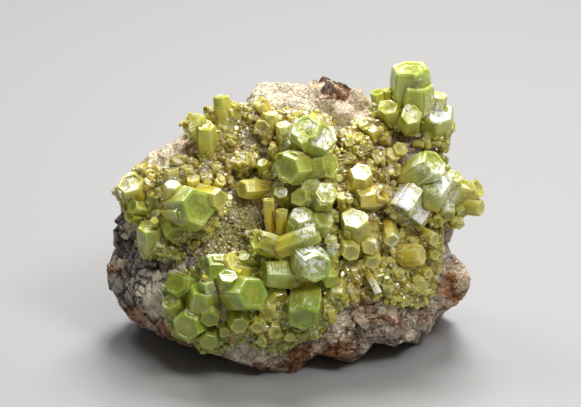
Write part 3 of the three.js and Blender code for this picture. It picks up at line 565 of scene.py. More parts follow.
class StageSettings(PropertyGroup):
    """Floor, lights and camera."""

    floor_colour: colour_value("Floor", "Colour of the floor", (0.36, 0.355, 0.35))
    light_power: FloatProperty(
        name="Light Power", description="Power of the largest light", default=3.3, unit="POWER"
    )
    focal_length: FloatProperty(
        name="Focal Length", description="Focal length of the camera in millimetres", default=200
    )
    frame_width: length_value("Frame Width", "Width of the view at the specimen", 116.2)


def held(value, low=0.0, high=1.0):
    """The value, kept between low and high."""
    return max(low, min(high, value))


def on_plane(across, up, deep):
    """A place on the display plane in metres."""
    return (ACROSS * across + UP * (up - FOOT_UP) + DEEP * deep) * MM


def plane_place(point):
    """Across and up of a point, in millimetres."""
    return point.x / MM, point.dot(UP) / MM + FOOT_UP


def spot_strength(spots, across, up):
    """How strongly soft spots cover a place on the display plane."""
    return sum(
        strength * math.exp(-((across - x) ** 2 + (up - y) ** 2) / width**2)
        for x, y, width, strength in spots
    )


def knob_rise(knobs, across, up):
    """How far a knob stands out at a place on the display plane, in millimetres."""
    rise = 0.0
    for x, y, radius in knobs:
        reach = 1 - ((across - x) ** 2 + (up - y) ** 2) / radius**2
        rise = max(rise, 0.5 * radius * math.sqrt(max(0.0, reach)))
    return rise


def loaded(mesh):
    """A bmesh with the faces of a mesh."""
    bm = bmesh.new()
    bm.from_mesh(mesh)
    return bm


def mesh_of(bm, name):
    """A mesh with the faces of a bmesh, which is freed."""
    mesh = bpy.data.meshes.new(name)
    bm.to_mesh(mesh)
    bm.free()
    return mesh


def merged_copy(node, name):
    """A copy of a CAD node's mesh with its loose triangles joined."""
    bm = loaded(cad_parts[node].data)
    bmesh.ops.remove_doubles(bm, verts=bm.verts, dist=1e-6)
    return mesh_of(bm, name)


def add_object(name, data):
    made = bpy.data.objects.new(name, data)
    bpy.context.scene.collection.objects.link(made)
    return made


def remeshed(mesh, voxel):
    """The mesh with faces of one even size."""
    helper = add_object("helper", mesh)
    remesh = helper.modifiers.new("Remesh", "REMESH")
    remesh.mode = "VOXEL"
    remesh.voxel_size = voxel
    graph = bpy.context.evaluated_depsgraph_get()
    result = bpy.data.meshes.new_from_object(helper.evaluated_get(graph))
    bpy.data.objects.remove(helper)
    return result


def triangles(mesh):
    """Corners, normal and area of each triangle of a mesh."""
    mesh.calc_loop_triangles()
    for triangle in mesh.loop_triangles:
        yield [mesh.vertices[i].co for i in triangle.vertices], triangle.normal.copy(), triangle.area


def point_attribute(mesh, name, values):
    layer = mesh.attributes.new(name, "FLOAT", "POINT")
    layer.data.foreach_set("value", np.asarray(values, np.float32))


def vector_layer(bm, name):
    """The named layer of vectors on the face corners, made where it's missing."""
    layers = bm.loops.layers.float_vector
    return layers.get(name) or layers.new(name)


def new_material(name):
    material = bpy.data.materials.new(name)
    material.use_nodes = True
    tree = material.node_tree
    return material, Wiring(tree), tree.nodes["Principled BSDF"]


class Wiring:
    """Short calls for the nodes of one tree."""

    def __init__(self, tree):
        self.tree = tree

    def node(self, kind, inputs=None, **values):
        """A new node with its sockets and its other values."""
        made = self.tree.nodes.new(kind)
        for key, value in values.items():
            setattr(made, key, value)
        self.fill(made, inputs or {})
        return made

    def fill(self, node, inputs):
        """Gives a node's sockets a link, a colour of three or four numbers, or a plain value."""
        for key, value in inputs.items():
            socket = node.inputs[key]
            if isinstance(value, bpy.types.NodeSocket):
                self.tree.links.new(value, socket)
            elif socket.type == "RGBA" and len(value) == 3:
                socket.default_value = (*value, 1)
            else:
                socket.default_value = value

    def object_place(self):
        return self.node("ShaderNodeTexCoord").outputs["Object"]

    def stored(self, name, kind="Fac"):
        """A number stored on the mesh, or a vector where the kind is Vector."""
        return self.node("ShaderNodeAttribute", attribute_name=name).outputs[kind]

    def parts(self, vector):
        """The X, Y and Z of a vector."""
        return self.node("ShaderNodeSeparateXYZ", {0: vector}).outputs

    def math(self, operation, a, b=0.0, clamp=False):
        return self.node("ShaderNodeMath", {0: a, 1: b}, operation=operation, use_clamp=clamp).outputs[0]

    def times(self, a, b, clamp=False):
        return self.math("MULTIPLY", a, b, clamp)

    def plus(self, a, b, clamp=False):
        return self.math("ADD", a, b, clamp)

    def minus(self, a, b):
        return self.math("SUBTRACT", a, b)

    def vector(self, operation, a, b):
        return self.node("ShaderNodeVectorMath", {0: a, 1: b}, operation=operation).outputs

    def ramp(self, value, low, high, out_low=0.0, out_high=1.0):
        """A smooth step: out_low where the value is low, out_high where it is high."""
        inputs = {"Value": value, "From Min": low, "From Max": high, "To Min": out_low, "To Max": out_high}
        return self.node("ShaderNodeMapRange", inputs, interpolation_type="SMOOTHSTEP").outputs["Result"]

    def mix(self, share, a, b):
        inputs = {"Factor": share, "A": a, "B": b}
        return self.node("ShaderNodeMix", inputs, data_type="RGBA").outputs["Result"]

    def noise(self, place, scale, detail, roughness):
        inputs = {"Vector": place, "Scale": scale, "Detail": detail, "Roughness": roughness}
        return self.node("ShaderNodeTexNoise", inputs).outputs["Fac"]

    def bump(self, height, distance, strength, **normal):
        """A normal from a height; the distance is in millimetres, and Normal gives one that lies under it."""
        inputs = {"Height": height, "Distance": distance * MM, "Strength": strength, **normal}
        return self.node("ShaderNodeBump", inputs).outputs["Normal"]

    def group(self, tree, **inputs):
        return self.node("ShaderNodeGroup", inputs, node_tree=tree).outputs


def grain_group():
    """A node group for broken grains: a chance number per grain, a mask of its cracks, and its height."""
    group = bpy.data.node_groups.new("Broken Grains", "ShaderNodeTree")
    group.interface.new_socket("Vector", in_out="INPUT", socket_type="NodeSocketVector")
    for name, value in (("Scale", 500), ("Width", 0.05)):
        socket = group.interface.new_socket(name, in_out="INPUT", socket_type="NodeSocketFloat")
        socket.default_value = value
    for name in ("Chance", "Crack", "Height"):
        group.interface.new_socket(name, in_out="OUTPUT", socket_type="NodeSocketFloat")
    w = Wiring(group)
    start = w.node("NodeGroupInput").outputs
    end = w.node("NodeGroupOutput")
    scale = start["Scale"]
    wander = w.node("ShaderNodeTexNoise", {"Vector": start["Vector"], "Scale": w.times(scale, 1.4)})
    stretch = {0: wander.outputs["Color"], "Scale": w.math("DIVIDE", 0.9, scale)}
    push = w.node("ShaderNodeVectorMath", stretch, operation="SCALE")
    place = w.vector("ADD", start["Vector"], push.outputs[0])["Vector"]
    texture = {"Vector": place, "Scale": scale}
    cells = w.node("ShaderNodeTexVoronoi", texture).outputs
    edges = w.node("ShaderNodeTexVoronoi", texture, feature="DISTANCE_TO_EDGE").outputs
    reach = w.ramp(edges["Distance"], 0.0, start["Width"])
    lean = w.vector("SUBTRACT", cells["Color"], (0.5, 0.5, 0.5))["Vector"]
    offset = w.vector("SUBTRACT", place, cells["Position"])["Vector"]
    facet = w.times(w.vector("DOT_PRODUCT", lean, offset)["Value"], scale)
    w.fill(end, {
        "Chance": w.parts(cells["Color"])["X"],
        "Crack": w.minus(1.0, reach),
        "Height": w.plus(facet, w.times(reach, 0.25)),
    })
    return group


class QuartzPatterns:
    """The stored values, noises and grains that the quartz's colour and relief are made of."""

    def __init__(self, w, grains):
        self.place = w.object_place()
        self.rust, self.grey, self.hollow, self.block, milky = (w.stored(name) for name in QUARTZ_VALUES)
        self.coarse = w.noise(self.place, scale=110, detail=4, roughness=0.6)
        self.fine = w.noise(self.place, scale=620, detail=4, roughness=0.65)
        self.speckle = w.noise(self.place, scale=2200, detail=2, roughness=0.7)
        self.large = w.group(grains, Vector=self.place, Scale=330, Width=0.045)
        self.small = w.group(grains, Vector=self.place, Scale=950, Width=0.09)
        chance = w.times(self.large["Chance"], 0.7)
        self.milky = w.ramp(w.minus(w.plus(milky, 0.16), chance), 0.0, 0.12)
        self.clean = w.minus(1.0, self.milky)
        self.slab = w.times(w.ramp(self.large["Chance"], 0.7, 0.76), self.clean)
        self.calm = w.ramp(self.grey, 0.2, 0.8, 1.0, 0.3)


def quartz_body(w, p, settings):
    """Cream and tan grains with dark ones among them, pale slabs, and grey stone, by the patterns p."""
    chance = p.small["Chance"]
    body = w.mix(w.ramp(chance, 0.1, 0.5), settings.tan, settings.cream)
    body = w.mix(w.ramp(chance, 0.5, 0.7), body, settings.milky)
    body = w.mix(w.times(w.ramp(chance, 0.17, 0.1, 0.0, 0.75), p.clean), body, settings.slate)
    body = w.mix(w.times(p.slab, 0.8), body, settings.slab)
    stone = w.mix(w.ramp(p.large["Chance"], 0.25, 0.75), settings.slate, settings.grey)
    stone = w.mix(w.ramp(chance, 0.6, 0.9, 0.0, 0.5), stone, settings.milky)
    greyness = w.plus(w.times(p.grey, 1.1), w.times(w.ramp(p.block, 0.55, 0.85), 0.45), True)
    return w.mix(greyness, body, stone)


def quartz_stain(w, p, body, settings):
    """Milky knobs, and rust where it is stored and in the hollows."""
    stain = w.times(w.plus(p.rust, w.times(p.hollow, 0.2)), w.ramp(p.fine, 0.44, 0.6), True)
    stain = w.times(stain, w.ramp(p.coarse, 0.32, 0.52), True)
    stain = w.math("MAXIMUM", stain, w.ramp(p.rust, 0.85, 1.3, 0.0, 0.8))
    milky = w.times(p.milky, w.ramp(p.small["Chance"], 0.05, 0.4, 0.55, 1.0))
    body = w.mix(milky, body, settings.milky)
    return w.mix(w.times(stain, w.plus(w.times(p.clean, 0.75), 0.25)), body, settings.rust)


def quartz_cracks(w, p, body, settings):
    """Rust and dark between the grains, and dark seams round the blocks and across them."""
    fill = w.times(p.small["Crack"], w.times(p.clean, w.ramp(p.fine, 0.35, 0.6, 0.2, 0.85)))
    fill = w.times(fill, w.minus(1.0, w.times(p.slab, 0.8)))
    filling = w.mix(w.ramp(p.coarse, 0.4, 0.6), settings.rust, settings.dark)
    body = w.mix(w.times(fill, p.calm), body, filling)
    greyness = w.times(p.grey, 1.2)
    seam = w.times(p.large["Crack"], w.plus(0.2, greyness), True)
    wander = w.noise(p.place, scale=190, detail=4, roughness=0.6)
    line = w.ramp(w.math("ABSOLUTE", w.minus(wander, 0.5)), 0.028, 0.008)
    seam = w.math("MAXIMUM", seam, w.times(line, w.plus(0.15, greyness), True))
    seam = w.math("MAXIMUM", seam, w.times(p.hollow, w.ramp(p.fine, 0.3, 0.55)))
    seam = w.times(seam, w.plus(w.times(p.clean, 0.9), 0.1))
    return w.mix(w.times(seam, 0.9), body, settings.dark)


def quartz_material(settings):
    """Milky and grey vein quartz, broken into grains, with iron stain in the hollows."""
    material, w, shader = new_material("vein_quartz")
    p = QuartzPatterns(w, grain_group())
    body = quartz_body(w, p, settings)
    body = quartz_stain(w, p, body, settings)
    body = quartz_cracks(w, p, body, settings)
    blocks = w.plus(p.large["Height"], w.times(p.fine, 0.4))
    grains = w.times(w.plus(p.small["Height"], w.times(p.speckle, 0.4)), p.calm)
    relief = w.bump(blocks, distance=1.2, strength=0.7)
    relief = w.bump(grains, distance=0.7, strength=0.9, Normal=relief)
    w.fill(shader, {
        "Base Color": body,
        "Roughness": w.ramp(p.speckle, 0.35, 0.65, 0.3, 0.65),
        "Normal": relief,
        "Subsurface Weight": 0.15,
        "Subsurface Radius": (1.0, 0.8, 0.6),
        "Subsurface Scale": 0.6 * MM,
    })
    return material


class CrystalPatterns:
    """The stored values, noises and growth lines that the crystals' colour and relief are made of."""

    def __init__(self, w):
        self.place = w.object_place()
        habit = w.stored("habit", "Vector")
        side, _, self.is_end = w.parts(habit)
        self.yellow, self.chance, self.growth = w.parts(w.stored("tint", "Vector"))
        self.edge = w.math("ABSOLUTE", w.minus(w.times(side, 2.0), 1.0))
        self.cloud = w.noise(self.place, scale=300, detail=4, roughness=0.6)
        self.mottle = w.noise(self.place, scale=1300, detail=3, roughness=0.6)
        bands = {"Vector": habit, "Scale": 0.5, "Distortion": 5, "Detail": 3, "Detail Scale": 2}
        lines = w.node("ShaderNodeTexWave", bands, wave_type="BANDS", bands_direction="Y")
        self.lines = w.times(lines.outputs["Fac"], w.minus(1.0, self.is_end))
        self.facing_up = w.parts(w.node("ShaderNodeNewGeometry").outputs["Normal"])["Z"]


def crystal_body(w, p, settings):
    """Green to yellow with an amber foot and an olive depth, by the patterns p."""
    body = w.mix(w.ramp(p.chance, 0.0, 0.85), settings.green, settings.leaf)
    body = w.mix(p.yellow, body, settings.yellow)
    body = w.mix(w.ramp(p.growth, 0.7, 0.05, 0.0, 0.65), body, settings.yellow)
    body = w.mix(w.ramp(p.edge, 0.8, 0.1, 0.0, 0.25), body, settings.yellow)
    # Painted shade and light: yellow crystals turn amber towards the foot and pale towards the tip.
    foot = w.times(w.ramp(p.growth, 0.6, 0.1), w.ramp(p.yellow, 0.4, 0.95, 0.0, 0.8))
    body = w.mix(foot, body, settings.amber_foot_shade)
    tip = w.times(w.ramp(p.growth, 0.6, 1.0), w.ramp(p.yellow, 0.3, 0.8, 0.0, 0.35))
    body = w.mix(tip, body, settings.pale)
    # Nearly white crystals: amid milky spots their own white, elsewhere those whose chance runs highest, as
    # painted sparkle.
    white = w.times(w.ramp(p.chance, 0.9, 0.93), w.ramp(p.growth, 0.2, 0.7))
    body = w.mix(w.times(white, 0.65), body, settings.wax_and_sparkle)
    deep = w.times(w.ramp(p.cloud, 0.62, 0.35), w.ramp(p.edge, 0.95, 0.3), True)
    body = w.mix(w.times(deep, 0.6), body, settings.olive)
    core = w.times(p.is_end, w.ramp(p.edge, 0.7, 0.1))
    return w.mix(w.times(core, 0.25), body, settings.olive)


def crystal_frost_shade_and_highlight(w, p, body, settings):
    """Pale patches and edges, frosted ends, painted shade in the gaps at the feet, and a painted highlight on
    faces that look up.
    """
    patch = w.times(w.ramp(p.cloud, 0.45, 0.65), w.ramp(p.mottle, 0.4, 0.7), True)
    patch = w.math("MAXIMUM", patch, w.times(p.lines, 0.25))
    body = w.mix(w.times(patch, 0.22), body, settings.pale)
    rim = w.times(w.ramp(p.edge, 0.84, 1.0), w.ramp(p.mottle, 0.3, 0.6, 0.3, 1.0))
    body = w.mix(w.times(rim, 0.5), body, settings.pale)
    frost = w.times(p.is_end, w.ramp(p.mottle, 0.5, 0.66), True)
    frost = w.times(frost, w.ramp(p.chance, 0.3, 0.95, 0.05, 0.4))
    body = w.mix(frost, body, settings.frost)
    # Painted shade: a low growth, at a crystal's foot and on the crust, darkens the colour.
    body = w.mix(w.ramp(p.growth, 0.16, 0.02, 0.0, 0.55), body, settings.gap)
    # Painted highlight: faces that look up are whitened in patches, as where the light from above falls.
    painted_top_highlight = w.times(w.ramp(p.facing_up, 0.4, 0.85), w.ramp(p.mottle, 0.42, 0.58))
    painted_top_highlight = w.times(painted_top_highlight, w.ramp(p.cloud, 0.42, 0.58))
    painted_top_highlight = w.times(painted_top_highlight, w.ramp(p.growth, 0.3, 0.9, 0.05, 0.6))
    return w.mix(painted_top_highlight, body, settings.painted_top_highlight)


def painted_glint_mask(w, p):
    """A mask of the painted glint: broken white highlights painted on the crystals, strongest on faces that
    look up.
    """
    glint_breakup = w.noise(p.place, scale=1000, detail=5, roughness=0.75)
    glint_breakup = w.plus(w.ramp(glint_breakup, 0.38, 0.6), w.times(p.lines, 0.3))
    painted_glint = w.times(w.stored("painted_glint"), w.ramp(p.facing_up, -0.3, 0.35, 0.35, 1.0))
    return w.ramp(w.times(painted_glint, glint_breakup), 0.1, 0.65)


def crystal_material(settings):
    """Waxy, translucent crystal: frosted pale edges, zoned ends, fine lines across the prism."""
    material, w, shader = new_material("pyromorphite")
    p = CrystalPatterns(w)
    body = crystal_body(w, p, settings)
    body = crystal_frost_shade_and_highlight(w, p, body, settings)
    painted_glint = painted_glint_mask(w, p)
    # Painted highlight: where the glint mask is, the colour turns white and the surface a little glossier.
    body = w.mix(w.times(painted_glint, 0.95), body, settings.painted_glint)
    gloss = w.times(w.ramp(p.chance, 0.1, 0.8, 0.6, 1.2), w.ramp(p.mottle, 0.3, 0.7, 0.08, 0.24))
    gloss = w.times(gloss, w.ramp(painted_glint, 0.0, 0.6, 1.0, 0.6))
    grain = w.noise(p.place, scale=3400, detail=2, roughness=0.6)
    relief = w.bump(p.lines, distance=0.07, strength=0.5)
    relief = w.bump(w.plus(p.cloud, w.times(p.mottle, 0.4)), distance=0.16, strength=0.4, Normal=relief)
    relief = w.bump(grain, distance=0.05, strength=0.5, Normal=relief)
    w.fill(shader, {
        "Base Color": body,
        "Roughness": gloss,
        "Normal": relief,
        "IOR": 1.75,
        "Subsurface Weight": 0.55,
        "Subsurface Radius": (0.8, 1.0, 0.25),
        "Subsurface Scale": 1.6 * MM,
    })
    return material


def repeat_number(*places):
    """A repeatable number from 0 to 1 for three places, the same as in the solids."""
    wave = math.sin(places[0] * 127.1 + places[1] * 311.7 + places[2] * 74.7) * 43758.5453
    return wave - math.floor(wave)


def barrel(share, is_barrel):
    """Radius of a crystal at a share of its length, from the foot (0) to the end (1)."""
    if not is_barrel:
        return FOOT_DRAW + (END_DRAW - FOOT_DRAW) * share
    low = (1 - share) * (1 - 2 * share) * FOOT_DRAW
    middle = 4 * share * (1 - share) * BARREL_SWELL
    high = share * (2 * share - 1) * END_DRAW
    return low + middle + high


def mark_faces(bm, radius, length, yellow, chance):
    """Writes where each face corner lies on its crystal, for the material."""
    habit = vector_layer(bm, "habit")
    tint = vector_layer(bm, "tint")
    for face in bm.faces:
        is_end = face.normal.z > END_FACING
        turn = math.atan2(face.normal.y, face.normal.x)
        side = math.floor(turn / SIXTH_TURN) * SIXTH_TURN + SIXTH_TURN / 2
        along_face = Vector((-math.sin(side), math.cos(side), 0))
        for loop in face.loops:
            p = loop.vert.co
            reach = math.hypot(p.x, p.y) / radius if is_end else 2 * p.dot(along_face) / radius
            loop[habit] = (0.5 + 0.5 * held(reach, -1.0), p.z / MM, float(is_end))
            # The growth runs from 0 at the foot to 1 at the end; the material paints shade at the foot and
            # light at the tip by it.
            loop[tint] = (yellow, chance, held(p.z / length))


def upright_edges(bm, stem):
    """The edges that run from the foot of a plain prism to its top."""
    return [e for e in bm.edges if abs(e.verts[0].co.z - e.verts[1].co.z) > stem / 2]


def crystal_shape(radius, length, is_barrel, settings, dice):
    """One hexagonal crystal standing on the origin, with rounded edges, growth steps and a worn end."""
    lip = min(0.1 * radius, 0.2 * length)
    stem = length - lip
    bm = bmesh.new()
    bmesh.ops.create_cone(bm, cap_ends=True, segments=6, radius1=radius, radius2=radius, depth=stem)
    bmesh.ops.translate(bm, verts=bm.verts, vec=(0, 0, stem / 2))
    edges = upright_edges(bm, stem)
    width = settings.bevel * radius
    bmesh.ops.bevel(bm, geom=edges, offset=width, segments=1, profile=0.5, affect="EDGES", material=-1)
    is_large = radius > LARGE_FROM * MM
    cuts = 9 if is_large else 4
    bmesh.ops.subdivide_edges(bm, edges=upright_edges(bm, stem), cuts=cuts, use_grid_fill=True)
    shape_rings(bm, stem, cuts, is_barrel, dice)
    step_end(bm, radius, lip, dice)
    if is_large:
        roughen_end(bm, radius, length, dice)
        wear_surface(bm, radius, length, dice)
    bm.normal_update()
    return bm


def shape_rings(bm, stem, cuts, is_barrel, dice):
    """Gives a prism its barrel form, unequal faces, and a step on one side where growth paused."""
    rings = cuts + 1
    swell = [barrel(i / rings, is_barrel) + dice.uniform(-0.01, 0.01) for i in range(rings + 1)]
    height = [i / rings for i in range(rings + 1)]
    step = dice.randrange(2, rings - 1)
    height[step] = height[step + 1] - 0.3 / rings
    step_side = dice.uniform(0, 2 * math.pi)
    step_rise = dice.choice((0, 0.03, 0.05))
    flat_side = dice.uniform(0, 2 * math.pi)
    flatness = dice.uniform(-0.07, 0.07)
    drift = Vector((dice.uniform(-1, 1), dice.uniform(-1, 1), 0)) * 0.04
    corners = [dice.uniform(0.92, 1.03) for _ in range(6)]
    slant = dice.uniform(0.0, 0.14)
    for v in bm.verts:
        ring = round(v.co.z / stem * rings)
        turn = math.atan2(v.co.y, v.co.x)
        scale = swell[ring] + flatness * math.cos(2 * (turn - flat_side))
        if ring > step:
            scale -= step_rise * max(0.0, math.cos(turn - step_side))
        scale *= corners[round(turn / SIXTH_TURN) % 6]
        reach = v.co.xy.length
        v.co.x *= scale
        v.co.y *= scale
        v.co += drift * reach * math.sin(ring / rings * math.pi)
        v.co.z = height[ring] * stem
        if ring == rings:
            v.co.z -= slant * reach * (1 + math.cos(turn - flat_side)) / 2


def step_end(bm, radius, lip, dice):
    """Draws a crystal's end in over its lip to a flat rim, and sinks the middle."""
    end = max(bm.faces, key=lambda f: f.calc_center_median().z)
    hollow = dice.uniform(-0.09, 0.0)
    for share, rise in ((0.93, lip / radius), (0.8, 0.0), (0.94, hollow), (0.6, 0.3 * hollow)):
        end = bmesh.ops.extrude_discrete_faces(bm, faces=[end])["faces"][0]
        middle = end.calc_center_median()
        bmesh.ops.scale(bm, vec=(share, share, 1), verts=end.verts, space=Matrix.Translation(-middle))
        bmesh.ops.translate(bm, verts=end.verts, vec=(0, 0, rise * radius))
    bmesh.ops.poke(bm, faces=[end])


def roughen_end(bm, radius, length, dice):
    """Breaks the flat end of a large crystal into low, uneven growth plates."""
    low = length - END_ZONE * radius
    rim = END_REACH * radius
    end = [e for e in bm.edges if all(v.co.z > low and v.co.xy.length < rim for v in e.verts)]
    bmesh.ops.subdivide_edges(bm, edges=end, cuts=2, use_grid_fill=True)
    shift = Vector((dice.uniform(0, 99), dice.uniform(0, 99), 0))
    for v in bm.verts:
        if v.co.z < low or v.co.xy.length / radius > END_REACH:
            continue
        _, hearts = noise.voronoi(v.co / (PLATE_SIZE * radius) + shift)
        plate = noise.noise(hearts[0] * 3.1) * 0.04
        grain = noise.noise(v.co / (0.2 * radius) + shift) * 0.008
        v.co.z += (plate + grain - 0.03) * radius


def wear_surface(bm, radius, length, dice):
    """Dents a crystal's surface a little, and keeps it under its length."""
    shift = Vector((dice.uniform(0, 99), 0, 0))
    for v in bm.verts:
        v.co += noise.noise_vector(v.co / (WEAR_SIZE * radius) + shift) * WEAR * radius
        v.co.z = min(v.co.z, length)


def crystal_row_place(surface, row):
    """Foot and end of a crystal, found as the solids find them."""
    _, across, up, _, length, heading, lift, stand = row
    heading, lift = math.radians(heading), math.radians(lift)
    run = length * math.cos(lift)
    foot_across = across - run * math.cos(heading)
    foot_up = up - run * math.sin(heading)
    depth = front_depth(surface, foot_across, foot_up)
    while depth is None:
        foot_across -= foot_across * NUDGE
        foot_up += (HEART_UP - foot_up) * NUDGE
        depth = front_depth(surface, foot_across, foot_up)
    foot = on_plane(foot_across, foot_up, depth + FOOT_DEPTH - stand)
    end = on_plane(across, up, depth + FOOT_DEPTH - stand - length * math.sin(lift))
    return foot, end


def front_depth(surface, across, up):
    """Depth of the quartz's front under a place on the display plane, in millimetres, or None."""
    hit = surface.ray_cast(on_plane(across, up, OUTSIDE), DEEP)
    return None if hit[0] is None else hit[0].dot(DEEP) / MM


def standing(foot, axis, roll):
    """The turn and place of a crystal that stands on foot along axis."""
    turn = Vector((0, 0, 1)).rotation_difference(axis)
    return Matrix.Translation(foot) @ turn.to_matrix().to_4x4() @ Matrix.Rotation(roll, 4, "Z")


def add_crystal(target, foot, end, radius, roll, yellow, is_barrel, settings, dice):
    """Adds a crystal from foot to end to the target bmesh."""
    # Paler higher up: partly the crystals' own paler green, partly painted light from above.
    paleness = held(PALE_RISE * plane_place(end)[1] + PALE_CHANCE * (dice.random() - 0.5))
    axis = end - foot
    length = axis.length
    bm = crystal_shape(radius, length, is_barrel, settings, dice)
    mark_faces(bm, radius, length, yellow, paleness * PALEST)
    bmesh.ops.transform(bm, matrix=standing(foot, axis.normalized(), roll), verts=bm.verts)
    scratch = mesh_of(bm, "scratch")
    target.from_mesh(scratch)
    bpy.data.meshes.remove(scratch)


def druse_template(length):
    """A small crystal of few faces, with a radius of one, as arrays."""
    bm = bmesh.new()
    bmesh.ops.create_cone(bm, cap_ends=True, segments=6, radius1=0.8, radius2=1.0, depth=length)
    bm.normal_update()
    end = max(bm.faces, key=lambda f: f.calc_center_median().z)
    bmesh.ops.inset_region(bm, faces=[end], thickness=0.36, depth=0.26)
    bm.normal_update()
    foot = min(bm.faces, key=lambda f: f.calc_center_median().z)
    bmesh.ops.delete(bm, geom=[foot], context="FACES_ONLY")
    bmesh.ops.contextual_create(bm, geom=[e for e in bm.edges if e.is_boundary])
    bmesh.ops.triangulate(bm, faces=bm.faces)
    bm.normal_update()
    mark_faces(bm, 1.0, length / 2, 0, 0)
    habit = vector_layer(bm, "habit")
    bm.verts.index_update()
    points = np.array([v.co[:] for v in bm.verts])
    corners = np.array([[loop.vert.index for loop in face.loops] for face in bm.faces])
    habits = np.array([[loop[habit][:] for loop in face.loops] for face in bm.faces])
    bm.free()
    return points, corners, habits, length


def druse_mesh(name, seats):
    """Many small crystals as one mesh. A seat is (place, axis, radius, roll, yellow, chance)."""
    templates = [druse_template(length) for length in DRUSE_LENGTHS]
    points, corners, habits, tints, base = [], [], [], [], 0
    for place, axis, radius, roll, yellow, chance in seats:
        shape, faces, habit, length = templates[chance > SLIM_FROM]
        matrix = np.array(standing(place, axis, roll))
        points.append((shape * radius) @ matrix[:3, :3].T + matrix[:3, 3])
        corners.append(faces + base)
        base += len(shape)
        habits.append(habit * (1, radius / MM, 1))
        # The growth from foot to tip, by which the material paints shade at a druse crystal's foot.
        growth = np.clip(shape[faces][..., 2] / length + 0.5, 0, 1)
        tint = np.empty((*faces.shape, 3))
        tint[..., 0], tint[..., 1], tint[..., 2] = yellow, chance, growth
        tints.append(tint)
    mesh = bpy.data.meshes.new(name)
    mesh.from_pydata(np.concatenate(points), [], np.concatenate(corners).tolist())
    for key, values in (("habit", habits), ("tint", tints)):
        layer = mesh.attributes.new(key, "FLOAT_VECTOR", "CORNER")
        layer.data.foreach_set("vector", np.concatenate(values).astype(np.float32).ravel())
    return mesh


def crust_mesh(node, settings, yellow):
    """The lumpy crust between the crystals, a little under the solid's own faces."""
    mesh = remeshed(merged_copy(node, node + "_crust"), CRUST_VOXEL * MM)
    bm = loaded(mesh)
    bm.normal_update()
    for v in bm.verts:
        lump = noise.noise(v.co * 900) * 0.35 + noise.noise(v.co * 2100) * 0.2
        v.co -= v.normal * (settings.crust_shrink - lump * 0.5 * MM)
    habit = vector_layer(bm, "habit")
    tint = vector_layer(bm, "tint")
    for face in bm.faces:
        face.smooth = True
        for loop in face.loops:
            p = loop.vert.co
            cloud = 0.5 + 0.5 * noise.noise(p * 350)
            loop[habit] = (0.5, p.z / MM, 0.0)
            # The crust's low growth puts it partly in the painted shade of the gaps, and where it is yellow,
            # in the painted amber shade.
            loop[tint] = (min(1.0, yellow + 0.5), 0.5 * cloud, 0.12)
    bm.to_mesh(mesh)
    bm.free()
    return mesh


def scattered(spots, weights, count, spread, dice):
    """Chance places on weighted triangles, each with an axis that leans off the triangle's normal."""
    for corners, normal in dice.choices(spots, weights, k=count):
        a, b = sorted((dice.random(), dice.random()))
        place = corners[0] * a + corners[1] * (b - a) + corners[2] * (1 - b)
        lean = Vector((dice.gauss(0, spread), dice.gauss(0, spread), dice.gauss(0, spread)))
        yield place, (normal + lean).normalized()


def druse_seats(node, quartz, settings, dice):
    """Seats for small crystals: on the solid's crust, close to the quartz, coloured like their neighbours."""
    spots, weights = [], []
    for corners, normal, area in triangles(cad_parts[node].data):
        near = quartz.find_nearest(sum(corners, Vector()) / 3)
        if near[3] > DRUSE_REACH * MM or normal.dot(near[1]) < DRUSE_FACING:
            continue
        spots.append((corners, normal))
        weights.append(area)
    count = round(sum(weights) / MM**2 * settings.druse_density)
    seats = []
    for tip, axis in scattered(spots, weights, count, DRUSE_SPREAD, dice):
        radius = settings.druse_radius * (DRUSE_LEAST + (1 - DRUSE_LEAST) * dice.random() ** 2)
        across, up = plane_place(tip)
        yellow = min(GROWTHS[node], key=lambda row: (row[1] - across) ** 2 + (row[2] - up) ** 2)[0]
        olive = LOW_OLIVE * max(0.0, LOW_FROM - up)
        shade = held(yellow + DRUSE_YELLOW - olive + dice.gauss(0, DRUSE_CHANCE))
        chance = dice.random() * DRUSE_PALEST
        if dice.random() < MILKY_DRUSE * spot_strength(MILKY_SPOTS, across, up):
            chance = 1.0
        place = tip - axis * radius * dice.uniform(*DRUSE_SINK)
        seats.append((place, axis, radius, dice.random() * math.pi, shade, chance))
    return seats


def rock_seats(block, quartz, count, dice):
    """Seats for fine grains on the open quartz of the display face."""
    spots, weights = [], []
    for corners, normal, area in triangles(block):
        if normal.dot(DEEP) > SUGAR_FACING:
            continue
        across, up = plane_place(corners[0])
        weight = spot_strength(SUGAR_SPOTS, across, up)
        if weight < SUGAR_LEAST:
            continue
        front = front_depth(quartz, across, up)
        if front is None or corners[0].dot(DEEP) / MM > front + FRONT_SKIN:
            continue
        spots.append((corners, normal))
        weights.append(area * weight)
    seats = []
    for tip, axis in scattered(spots, weights, count, SUGAR_SPREAD, dice):
        radius = dice.uniform(*SUGAR_RADII) * MM
        place = tip - axis * SUGAR_SINK * radius
        roll = dice.random() * math.pi
        seats.append((place, axis, radius, roll, dice.uniform(0.5, 1.0), dice.random() ** 0.3))
    return seats


def block_cut(place, size):
    """The heart of the broken block round a place, the height of its facet, and how near its seam is."""
    near, hearts = noise.voronoi(place / size)
    heart = hearts[0]
    tilt = noise.noise_vector(heart * 7.3 + Vector((3, 1, 2)))
    facet = tilt.dot(place / size - heart) * 1.3 + noise.noise(heart * 5.1) * 0.7
    return heart, held(facet, -1.0), max(0.0, 1 - (near[1] - near[0]) / SEAM_WIDTH)


def grain_cut(place, size):
    """The height of the facet of the grain round a place, and how near its pit is."""
    near, hearts = noise.voronoi(place / size)
    heart = hearts[0]
    facet = noise.noise(heart * 3.7) + noise.noise_vector(heart * 9).dot(place / size - heart)
    return held(facet, -1.0), max(0.0, 1 - (near[1] - near[0]) / PIT_WIDTH)


